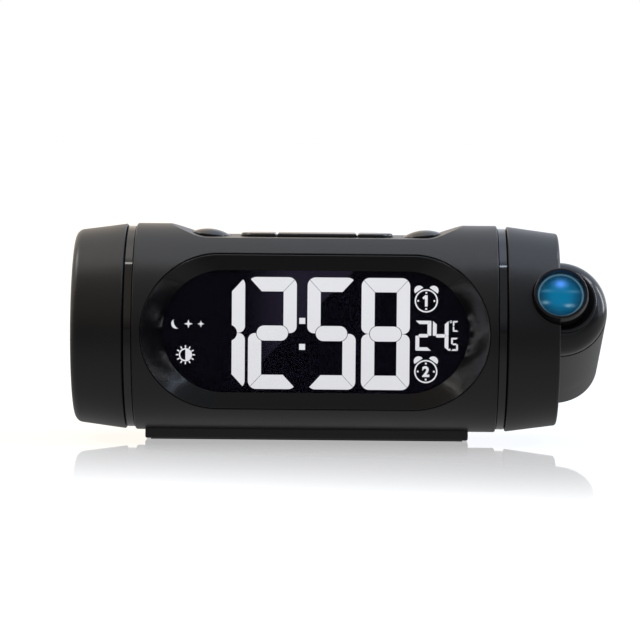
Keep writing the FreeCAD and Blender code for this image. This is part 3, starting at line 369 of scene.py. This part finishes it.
def fibre(name, tone, width):
    """Pressed paper or foam, mottled and open."""
    made, finish = material(name)
    fibres = finish.noise(width, 5.0)
    cloud = finish.noise(6 * MM, 3.0)
    finish.finish(finish.principled(
        Base_Color=finish.mix(fibres * cloud * 2.0, shade(tone, 0.6), shade(tone, 1.3)),
        Roughness=0.9,
        Normal=finish.bump(fibres, 0.1 * MM, 0.7)))
    return made


def clear(name, tone, roughness, ior=1.49):
    """Clear glass or plastic with faint wiping marks."""
    made, finish = material(name)
    marks = finish.smooth(finish.noise(1.2 * MM, 4.0), 0.6, 0.9)
    finish.finish(finish.principled(
        Base_Color=finish.mix(marks, tone, shade(tone, 0.97)),
        Roughness=roughness + marks * 0.02,
        IOR=ior,
        Transmission_Weight=1.0))
    return made


# The lit display
def lit_print(name):
    """Evenly lit figures, a little softer toward their foot."""
    shown = bpy.context.scene.clock_display
    made, finish = material(name)
    height = finish.node("ShaderNodeSeparateXYZ", None, {"Vector": finish.place()}, output="Z")
    fall = finish.smooth(height, DIGITS_LOW.z, DIGITS_HIGH.z)
    cells = finish.noise(4 * MM, 2.0)
    level = fall * 0.6 + cells * 0.4
    glow = finish.mix(level, shade(shown.lit, 0.93), shade(shown.lit, 1.04))
    finish.finish(finish.principled(
        Base_Color=(0.02, 0.02, 0.02), Roughness=0.5, Emission_Color=glow, Emission_Strength=1.0))
    return made


def dark_field(name):
    """The printed field behind the figures, near black, with a painted reflection: a faint glow on its upper
    middle stands in for the room mirrored in the window.
    """
    shown = bpy.context.scene.clock_display
    made, finish = material(name)
    cloud = finish.noise(30 * MM, 2.0)
    across = finish.node("ShaderNodeSeparateXYZ", None, {"Vector": finish.place()}, output="X")
    height = Signal(finish.tree, across.socket.node.outputs["Z"])
    # Painted reflection: a patch left of a diagonal on the upper middle glows faintly, standing in for the
    # window mirroring the room
    painted_pane_reflection = finish.smooth(height - across, 47.8 * MM, 48.4 * MM) * finish.smooth(across, -27 * MM, -8 * MM)
    glow = finish.mix(painted_pane_reflection, (0.0, 0.0, 0.0), shown.painted_pane_reflection)
    finish.finish(finish.principled(
        Base_Color=finish.mix(cloud, shade(shown.night, 0.8), shade(shown.night, 1.3)),
        Roughness=0.55 + finish.noise(0.3 * MM) * 0.1,
        Specular_IOR_Level=0.05,
        Emission_Color=glow,
        Emission_Strength=1.0,
        Normal=finish.bump(finish.noise(0.2 * MM), 0.004 * MM, 0.3)))
    return made


# The lens
def lens_place(finish, radius, distance):
    """Coordinates across the lens: X to the right, Z up, both 1 at its edge."""
    centre = BARREL_FOOT + BARREL_AXIS * distance
    return finish.node("ShaderNodeMapping", {"vector_type": "TEXTURE"}, {
        "Vector": finish.place(), "Location": centre, "Rotation": (-BARREL_TILT, 0.0, 0.0),
        "Scale": (radius, radius, radius)})


def painted_lens_glow(name, radius, distance):
    """What shows inside the projection lens, all painted as glow: a blue body standing in for the lamp's light
    and the coating's reflections, faint streaks, a painted highlight high up, painted glints low at the sides
    and a painted highlight round the rim of the optics.
    """
    lens = bpy.context.scene.clock_lens
    made, finish = material(name)
    across = finish.node("ShaderNodeSeparateXYZ", None, {"Vector": lens_place(finish, radius, distance)},
                         output="X")
    up = Signal(finish.tree, across.socket.node.outputs["Z"])

    def blob(x, z, width, height):
        """A soft spot that is 1 in its middle."""
        distance_squared = ((across - x) / width) ** 2 + ((up - z) / height) ** 2
        return across.worked("EXPONENT", distance_squared * -1.0)

    rim = (across ** 2 + up ** 2) ** 0.5
    # Painted glow: deep blue at the rim to teal in the middle, standing in for the lamp's light and the
    # coating's reflections
    body = finish.mix(finish.smooth(rim, 1.0, 0.25), lens.deep, lens.teal)
    streaks = blob(-0.55, 0.2, 0.24, 0.06) + blob(0.5, 0.18, 0.26, 0.06)
    streaked = finish.mix(streaks * 0.6, body, (0.06, 0.24, 0.36))
    # Painted highlight: a bright blue spot high in the lens
    lit = finish.mix(blob(0.0, 0.5, 0.22, 0.16), streaked, lens.painted_highlight)
    crumbs = finish.smooth(finish.noise(0.45 * MM, 1.0, stretch=(0.35, 1.0, 1.6)), 0.52, 0.62)
    # Painted glints: two pale spots low at the sides, broken up by fine noise, and a painted highlight on a
    # thin ring round the rim
    painted_glints = blob(-0.62, -0.3, 0.14, 0.07) + blob(0.36, -0.42, 0.16, 0.07)
    edge = finish.smooth(rim, 0.84, 0.90) * (1 - finish.smooth(rim, 0.91, 0.96))
    painted_glow_colour = finish.mix(painted_glints * (0.5 + crumbs * 0.5) + edge * 0.3, lit, (0.26, 0.50, 0.60))
    finish.finish(finish.principled(
        Base_Color=(0.0, 0.002, 0.006), Roughness=0.4, Specular_IOR_Level=0.0, Emission_Color=painted_glow_colour,
        Emission_Strength=1.0))
    return made


# Modelling helpers
def clean_start():
    """Leave edit mode and deselect everything."""
    if bpy.context.object and bpy.context.object.mode != "OBJECT":
        bpy.ops.object.mode_set(mode="OBJECT")
    bpy.ops.object.select_all(action="DESELECT")


def settle(name, body, made):
    """Name the active piece, put its place in its mesh, and give it its material, slot and body."""
    piece = bpy.context.object
    bpy.ops.object.transform_apply(location=True, rotation=True, scale=True)
    piece.name = name
    piece.data.name = name
    piece.data.materials.clear()
    piece.data.materials.append(made)
    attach(piece, body)
    return piece


def add_modifier(kind, **settings):
    """Add a modifier to the active object and apply it."""
    modifier = bpy.context.object.modifiers.new(kind.title(), kind)
    for name, value in settings.items():
        setattr(modifier, name, value)
    bpy.ops.object.modifier_apply(modifier=modifier.name)


FACING = (math.pi / 2, 0.0, 0.0)


def flat_disc(radius, vertices=48):
    """A filled disc at the origin, facing the front."""
    clean_start()
    bpy.ops.mesh.primitive_circle_add(vertices=vertices, radius=radius, fill_type="NGON", rotation=FACING)
    bpy.ops.object.transform_apply(location=False, rotation=True, scale=True)
    return bpy.context.object


def flat_ring(radius, stroke, vertices=64):
    """A flat ring at the origin, facing the front."""
    ring = flat_disc(radius, vertices)
    bpy.ops.object.mode_set(mode="EDIT")
    bpy.ops.mesh.select_all(action="SELECT")
    bpy.ops.mesh.inset(thickness=stroke)
    bpy.ops.mesh.delete(type="FACE")
    bpy.ops.object.mode_set(mode="OBJECT")
    return ring


def half_disc(radius, side):
    """The half of a disc that lies toward a direction in the XZ plane."""
    half = flat_disc(radius)
    bpy.ops.object.mode_set(mode="EDIT")
    bpy.ops.mesh.select_all(action="SELECT")
    bpy.ops.mesh.bisect(plane_co=(0, 0, 0), plane_no=side, clear_inner=True)
    bpy.ops.object.mode_set(mode="OBJECT")
    return half


def flat_bar(width, height):
    """A flat bar at the origin, facing the front."""
    clean_start()
    bpy.ops.mesh.primitive_plane_add(size=1.0, rotation=FACING)
    bar = bpy.context.object
    bar.scale = (width, height, 1.0)
    bpy.ops.object.transform_apply(location=False, rotation=True, scale=True)
    return bar


def moved(piece, x, height, turn=0.0):
    """Turn a flat piece in the display's plane and move it to a place there."""
    piece.data.transform(Matrix.Rotation(turn, 4, "Y"))
    piece.data.transform(Matrix.Translation((x, 0.0, height)))
    return piece


def printed(name, flats, place, made):
    """Join flat pieces into one symbol, thicken it and set it in the display's plane."""
    clean_start()
    for flat in flats:
        flat.select_set(True)
    bpy.context.view_layer.objects.active = flats[0]
    if len(flats) > 1:
        bpy.ops.object.join()
    symbol = bpy.context.object
    bpy.ops.object.mode_set(mode="EDIT")
    bpy.ops.mesh.select_all(action="SELECT")
    bpy.ops.mesh.normals_make_consistent(inside=False)
    bpy.ops.object.mode_set(mode="OBJECT")
    add_modifier("SOLIDIFY", thickness=LIT_THICK, offset=0.0)
    symbol.location = (place[0], LIT_FRONT + LIT_THICK / 2, AXIS_HEIGHT + place[1])
    return settle(name, "clock_body", made)


def numeral(text, height, weight):
    """A plain upright figure, centred at the origin and facing the front."""
    clean_start()
    bpy.ops.object.text_add(rotation=FACING)
    words = bpy.context.object
    words.data.body = text
    words.data.size = height / 0.73
    words.data.offset = weight
    words.data.resolution_u = 6
    bpy.ops.object.convert(target="MESH")
    bpy.ops.object.transform_apply(location=True, rotation=True, scale=True)
    figure = bpy.context.object
    xs = [vertex.co.x for vertex in figure.data.vertices]
    zs = [vertex.co.z for vertex in figure.data.vertices]
    return moved(figure, -(min(xs) + max(xs)) / 2, -(min(zs) + max(zs)) / 2)


# Operators
class CLOCK_OT_finish_plastics(bpy.types.Operator):
    """Give the moulded shells, caps, keys, foot and polished trims their plastics"""
    bl_idname = "clock.finish_plastics"
    bl_label = "Finish the plastics"

    def execute(self, context):
        plastics = context.scene.clock_plastics
        satin = satin_plastic("satin_black", plastics.shell, plastics.shell_roughness, plastics.grain,
                              plastics.grain_depth)
        gloss = gloss_plastic("gloss_black", plastics.gloss, plastics.gloss_roughness, 0.7)
        inner = satin_plastic("inner_black", shade(plastics.shell, 1.5), 0.55, 0.5 * MM, 0.03 * MM)
        keys = satin_plastic("key_black", plastics.shell, plastics.key_roughness, plastics.grain,
                             plastics.grain_depth * 0.5)
        for name in ("front_housing", "rear_housing", "left_cap", "right_cap", "foot_base", "projector_barrel",
                     "cell_tray"):
            give(name, satin)
        for name in ("snooze_bar", "left_key", "right_key", "left_round_key", "right_round_key"):
            give(name, keys)
        give("window_bezel", gloss_plastic("bezel_black", plastics.gloss, plastics.bezel_roughness, 0.4))
        dome = gloss_plastic("dome_black", plastics.gloss, plastics.gloss_roughness * 2.5)
        for name in ("projector_dome", "focus_ring"):
            give(name, dome)
        for name in ("left_trim_ring", "right_trim_ring"):
            give(name, gloss)
        for name in ("left_bulkhead", "right_bulkhead", "head_plate", "optics_holder", "lens_retainer",
                     "cell_holder", "power_jack", "key_switches"):
            give(name, inner)
        return {"FINISHED"}


class CLOCK_OT_finish_display(bpy.types.Operator):
    """Light the display's figures and finish the layers round them"""
    bl_idname = "clock.finish_display"
    bl_label = "Finish the display"

    def execute(self, context):
        lit = lit_print("lit_white")
        give("display_digits", lit)
        give("display_reading", lit)
        give("display_mask", dark_field("mask_black"))
        give("display_window", clear("tinted_window", (0.98, 0.985, 1.0), 0.02, 1.12))
        give("display_panel", clear("panel_glass", (0.7, 0.75, 0.8), 0.05, 1.52))
        give("light_guide", clear("guide_acrylic", (0.95, 0.96, 0.97), 0.3))
        give("display_retainer", satin_plastic("frame_white", (0.62, 0.62, 0.60), 0.5, 0.4 * MM, 0.02 * MM))
        return {"FINISHED"}


class CLOCK_OT_add_alarm_symbols(bpy.types.Operator):
    """Print the two alarm symbols: a dial with bells, hour marks and a number"""
    bl_idname = "clock.add_alarm_symbols"
    bl_label = "Add the alarm symbols"

    def execute(self, context):
        shown = context.scene.clock_display
        radius = shown.alarm_radius
        lit = MADE["lit_white"]
        for text, place in ALARM_PLACES.items():
            flats = [flat_ring(radius, shown.stroke)]
            for side in (-1, 1):
                lean = side * math.radians(35)
                bell = half_disc(0.42 * radius, (0, 0, 1))
                reach = 1.09 * radius
                flats.append(moved(bell, reach * math.sin(lean), reach * math.cos(lean), lean))
            for turn in range(4):
                mark = flat_bar(0.15 * radius, 0.145 * radius)
                reach = 0.695 * radius
                lean = turn * math.pi / 2
                flats.append(moved(mark, reach * math.sin(lean), reach * math.cos(lean), lean))
            if text == "1":
                flats.append(flat_bar(0.95 * MM, 4.0 * MM))
                flats.append(moved(flat_bar(0.8 * MM, 1.5 * MM), -0.6 * MM, 1.3 * MM, math.radians(48)))
            else:
                flats.append(numeral(text, 3.65 * MM, 0.2 * MM))
            printed("alarm_symbol_" + text, flats, place, lit)
        return {"FINISHED"}


class CLOCK_OT_add_brightness_symbol(bpy.types.Operator):
    """Print the brightness symbol: a half-filled sun with twelve rays"""
    bl_idname = "clock.add_brightness_symbol"
    bl_label = "Add the brightness symbol"

    def execute(self, context):
        shown = context.scene.clock_display
        radius = shown.sun_radius
        flats = [flat_ring(radius, shown.stroke, 48), half_disc(0.8 * radius, (1, 0, 0))]
        for turn in range(12):
            lean = turn * math.pi / 6
            ray = flat_bar(0.19 * radius, 0.39 * radius)
            reach = 1.245 * radius
            flats.append(moved(ray, reach * math.sin(lean), reach * math.cos(lean), lean))
        printed("brightness_symbol", flats, BRIGHTNESS_PLACE, MADE["lit_white"])
        return {"FINISHED"}


class CLOCK_OT_add_night_symbol(bpy.types.Operator):
    """Print the night symbol: a crescent moon and two small stars"""
    bl_idname = "clock.add_night_symbol"
    bl_label = "Add the night symbol"

    def execute(self, context):
        radius = context.scene.clock_display.moon_radius
        flats = [crescent(radius)]
        for x, size in STARS:
            flats.append(moved(four_point_star(size), x, 0.0))
        printed("night_symbol", flats, NIGHT_PLACE, MADE["lit_white"])
        return {"FINISHED"}


def crescent(radius):
    """A flat crescent at the origin, open to the right."""
    moon = flat_disc(radius, 64)
    bpy.ops.object.mode_set(mode="EDIT")
    mesh = bmesh.from_edit_mesh(moon.data)
    for vertex in mesh.verts:
        vertex.select = vertex.co.x > 0.01 * radius
    mesh.select_flush_mode()
    bmesh.update_edit_mesh(moon.data)
    bpy.ops.transform.resize(value=(-0.42, 1.0, 1.0), center_override=(0, 0, 0))
    bpy.ops.object.mode_set(mode="OBJECT")
    return moved(moon, 0.0, 0.0, math.radians(-25))


def four_point_star(size):
    """A flat star with four points at the origin."""
    star = flat_disc(size, 8)
    bpy.ops.object.mode_set(mode="EDIT")
    mesh = bmesh.from_edit_mesh(star.data)
    for vertex in mesh.verts:
        vertex.select = min(abs(vertex.co.x), abs(vertex.co.z)) > 0.2 * size
    mesh.select_flush_mode()
    bmesh.update_edit_mesh(star.data)
    bpy.ops.transform.resize(value=(0.36, 1.0, 0.36), center_override=(0, 0, 0))
    bpy.ops.object.mode_set(mode="OBJECT")
    return star


class CLOCK_OT_add_degree_mark(bpy.types.Operator):
    """Print the small degree mark beside the temperature"""
    bl_idname = "clock.add_degree_mark"
    bl_label = "Add the degree mark"

    def execute(self, context):
        ring = flat_ring(0.45 * MM, 0.2 * MM, 24)
        printed("degree_mark", [ring], DEGREE_PLACE, MADE["lit_white"])
        return {"FINISHED"}


class CLOCK_OT_finish_projector(bpy.types.Operator):
    """Finish the projector's glass and add the disc behind its lens that glows with painted light and
    highlights
    """
    bl_idname = "clock.finish_projector"
    bl_label = "Finish the projector"

    def execute(self, context):
        clean_start()
        bpy.ops.mesh.primitive_circle_add(vertices=64, radius=GLOW_RADIUS, fill_type="NGON",
                                          location=BARREL_FOOT + BARREL_AXIS * GLOW_DISTANCE,
                                          rotation=(math.pi / 2 - BARREL_TILT, 0, 0))
        add_modifier("SOLIDIFY", thickness=GLOW_THICK, offset=-1.0)
        settle("painted_lens_glow", "focus", painted_lens_glow("painted_lens_glow", GLASS_RADIUS, GLOW_DISTANCE))
        give("projection_lens", clear("lens_clear", (0.92, 0.97, 1.0), 0.0, 1.16))
        give("condenser_lens", clear("condenser_clear", (0.95, 0.97, 0.97), 0.02, 1.5))
        give("image_film", gloss_plastic("film_dark", (0.03, 0.03, 0.035), 0.15))
        give("lamp_board", metal("board_aluminium", (0.75, 0.75, 0.76), 0.35))
        give("projection_lamp", gloss_plastic("lamp_body", (0.75, 0.72, 0.5), 0.2))
        return {"FINISHED"}


class CLOCK_OT_finish_works(bpy.types.Operator):
    """Finish the boards, speaker, battery, screws and rubber"""
    bl_idname = "clock.finish_works"
    bl_label = "Finish the works"

    def execute(self, context):
        board = circuit_board("board_green", (0.010, 0.075, 0.028))
        steel = metal("zinc_steel", (0.56, 0.56, 0.57), 0.28)
        finishes = {
            board: ("main_board", "key_board", "display_board"),
            steel: ("board_screws", "head_screws", "hub_clip", "speaker_frame"),
            metal("black_steel", (0.045, 0.045, 0.047), 0.35): ("rear_screws", "foot_screws"),
            metal("cell_steel", (0.70, 0.70, 0.71), 0.22, (1.0, 0.05, 1.0)): ("coin_cell",),
            metal("brass_leaf", (0.72, 0.54, 0.25), 0.25): ("cell_contact",),
            metal("magnet_grey", (0.12, 0.12, 0.125), 0.5): ("speaker_magnet",),
            fibre("paper_cone", (0.035, 0.035, 0.038), 0.2 * MM): ("speaker_cone",),
            fibre("foam_grey", (0.09, 0.09, 0.09), 0.35 * MM): ("speaker_gasket",),
            rubber("pad_rubber", (0.02, 0.02, 0.02), 1.6 * MM): ("foot_pads",),
            gloss_plastic("chip_black", (0.02, 0.02, 0.022), 0.35): ("board_parts", "temperature_sensor"),
            gloss_plastic("lamp_yellow", (0.80, 0.66, 0.20), 0.25): ("backlight_lamps",),
            satin_plastic("washer_nylon", (0.70, 0.68, 0.60), 0.45, 0.4 * MM, 0.01 * MM): ("friction_washer",),
        }
        for made, names in finishes.items():
            for name in names:
                give(name, made)
        return {"FINISHED"}


def give(name, made):
    """Assign a material to every slot of a node of the frame."""
    node = frame["nodes"][name]
    node.data.materials.clear()
    node.data.materials.append(made)


class CLOCK_OT_set_stage(bpy.types.Operator):
    """Set the floor, the lamps, the world and the camera"""
    bl_idname = "clock.set_stage"
    bl_label = "Set the stage"

    def execute(self, context):
        studio = context.scene.clock_studio
        floor = self.add_floor(studio)
        middle = Vector((0.0, 0.0, AXIS_HEIGHT))
        for side, place in GLINT_PLACES.items():
            self.add_lamp("glint_" + side, studio.glint_power, GLINT_SIZE, Vector(place), middle)
        self.add_lamp("side_strip", studio.side_power, SIDE_SIZE, Vector(SIDE_PLACE), BARREL_FOOT)
        self.set_world(context, studio)
        self.add_camera(context, studio)
        context.scene.view_settings.view_transform = "Standard"
        return {"FINISHED"}

    def add_floor(self, studio):
        """A white floor that keeps the shadow and mirrors the clock toward the camera."""
        clean_start()
        bpy.ops.mesh.primitive_plane_add(size=12.0)
        floor = bpy.context.object
        floor.name = "floor"
        made, finish = material("floor_white")
        camera = finish.node("ShaderNodeLightPath", output="Is Camera Ray")
        grey = finish.node("ShaderNodeBsdfDiffuse", None, {"Color": studio.floor})
        light = finish.node("ShaderNodeEmission", None, {"Color": (1, 1, 1), "Strength": studio.floor_light})
        lifted = finish.node("ShaderNodeAddShader", None, {0: grey, 1: light})
        across = finish.node("ShaderNodeSeparateXYZ", None, {"Vector": finish.place()}, output="X")
        depth = Signal(finish.tree, across.socket.node.outputs["Y"])
        near = finish.smooth(depth, -0.2, 0.0)
        glow = finish.node("ShaderNodeEmission", None, {
            "Color": (1, 1, 1), "Strength": (0.35 + near * 0.65) * studio.floor_glow})
        dim = finish.node("ShaderNodeBsdfDiffuse", None, {"Color": shade(studio.floor, 0.2)})
        felt = finish.node("ShaderNodeAddShader", None, {0: dim, 1: glow})
        shown = finish.node("ShaderNodeMixShader", None, {0: camera, 1: felt, 2: lifted})
        reach = finish.node("ShaderNodeClamp", None, {"Value": (depth + across * 0.3) / -MIRROR_REACH})
        share = (1 - reach ** 2) * studio.mirror * camera
        mirror = finish.node("ShaderNodeBsdfAnisotropic", None, {"Color": (1, 1, 1), "Roughness": 0.03})
        finish.finish(finish.node("ShaderNodeMixShader", None, {0: share, 1: shown, 2: mirror}))
        floor.data.materials.append(made)
        return floor

    def add_lamp(self, name, power, size, place, target):
        """A rectangular lamp that faces its target."""
        data = bpy.data.lights.new(name, "AREA")
        data.shape = "RECTANGLE"
        data.size, data.size_y = size
        data.energy = power
        lamp = bpy.data.objects.new(name, data)
        bpy.context.scene.collection.objects.link(lamp)
        lamp.location = place
        lamp.rotation_euler = (target - place).to_track_quat("-Z", "Y").to_euler()

    def set_world(self, context, studio):
        """White where the camera looks past the clock; for the rest a room with a softbox overhead."""
        world = bpy.data.worlds.new("studio")
        context.scene.world = world
        world.use_nodes = True
        finish = Finish(world.node_tree, "ShaderNodeOutputWorld")
        path = finish.node("ShaderNodeLightPath", output="Is Camera Ray")
        through = Signal(finish.tree, path.socket.node.outputs["Is Transmission Ray"])
        across = finish.node("ShaderNodeSeparateXYZ", None, {
            "Vector": finish.node("ShaderNodeTexCoord", output="Generated")}, output="X")
        outputs = across.socket.node.outputs
        rise = across.worked("ARCTAN2", Signal(finish.tree, outputs["Z"]),
                             Signal(finish.tree, outputs["Y"]) * -1.0) / math.pi
        cool, white = (0.85, 0.92, 1.0), (1.0, 1.0, 1.0)
        bands = ((0, 0.32 * studio.ahead, white), (15, 0.9 * studio.ahead, white), (60, studio.ahead, white),
                 (79.2, studio.ahead, white), (79.8, studio.strip, cool), (80.8, studio.strip, cool),
                 (81.4, 0.4 * studio.overhead, cool), (89, 1.15 * studio.overhead, cool),
                 (102, 1.08 * studio.overhead, cool), (116, 0.8 * studio.overhead, cool),
                 (134, 0.75 * studio.overhead, cool), (142, 0.75, white), (155, 0.95, white), (180, 1.0, white))
        room = finish.node("ShaderNodeValToRGB", {"stops": [
            (degrees / 180, shade(tint, level)) for degrees, level, tint in bands]}, {"Fac": rise})
        tint = finish.mix(finish.smooth(across, -0.06, 0.06), (1.12, 1.0, 0.87), (0.95, 1.0, 1.12))
        tinted = finish.node("ShaderNodeMix", {"data_type": "RGBA", "blend_type": "MULTIPLY"},
                             {0: 1.0, 6: room, 7: tint}, output=2)
        lit = finish.node("ShaderNodeBackground", None, {"Color": tinted, "Strength": 1.0})
        blank = finish.node("ShaderNodeBackground", None, {"Color": white, "Strength": 1.0})
        seen = path.worked("MAXIMUM", path, through)
        finish.finish(finish.node("ShaderNodeMixShader", None, {0: seen, 1: lit, 2: blank}))

    def add_camera(self, context, studio):
        data = bpy.data.cameras.new("camera")
        data.lens = studio.focal
        data.sensor_width = 36.0
        data.clip_end = 50.0
        turn, dip = studio.azimuth, studio.elevation
        back = Vector((math.sin(turn) * math.cos(dip), -math.cos(turn) * math.cos(dip), math.sin(dip)))
        right = Vector((math.cos(turn), math.sin(turn), 0.0))
        up = back.cross(right)
        target = Vector((0, 0, AXIS_HEIGHT)) + right * studio.aside + up * studio.above
        lean_right = right * math.cos(studio.roll) + up * math.sin(studio.roll)
        lean_up = up * math.cos(studio.roll) - right * math.sin(studio.roll)
        camera = bpy.data.objects.new("camera", data)
        context.scene.collection.objects.link(camera)
        turned = Matrix((lean_right, lean_up, back)).transposed().to_4x4()
        camera.matrix_world = Matrix.Translation(target + back * studio.distance) @ turned
        context.scene.camera = camera


class CLOCK_PT_panel(bpy.types.Panel):
    """The clock's operators and settings"""
    bl_idname = "CLOCK_PT_panel"
    bl_label = "Projection alarm clock"
    bl_space_type = "VIEW_3D"
    bl_region_type = "UI"
    bl_category = "Clock"

    def draw(self, context):
        for operator in OPERATORS:
            self.layout.operator(operator.bl_idname)
        for group in ("clock_plastics", "clock_display", "clock_lens", "clock_studio"):
            settings = getattr(context.scene, group)
            box = self.layout.box()
            for name in settings.__annotations__:
                box.prop(settings, name)


GROUPS = {"clock_plastics": ClockPlastics, "clock_display": ClockDisplay, "clock_lens": ClockLens,
          "clock_studio": ClockStudio}
OPERATORS = (CLOCK_OT_finish_plastics, CLOCK_OT_finish_display, CLOCK_OT_add_alarm_symbols,
             CLOCK_OT_add_brightness_symbol, CLOCK_OT_add_night_symbol, CLOCK_OT_add_degree_mark,
             CLOCK_OT_finish_projector, CLOCK_OT_finish_works, CLOCK_OT_set_stage)


def register():
    for item in (*GROUPS.values(), *OPERATORS, CLOCK_PT_panel):
        bpy.utils.register_class(item)
    for name, group in GROUPS.items():
        setattr(bpy.types.Scene, name, bpy.props.PointerProperty(type=group))


def unregister():
    for name in GROUPS:
        delattr(bpy.types.Scene, name)
    for item in (CLOCK_PT_panel, *reversed(OPERATORS), *GROUPS.values()):
        bpy.utils.unregister_class(item)


def main():
    register()
    for operator in OPERATORS:
        family, name = operator.bl_idname.split(".")
        getattr(getattr(bpy.ops, family), name)()
    bpy.context.view_layer.update()


if __name__ == "__main__":
    main()
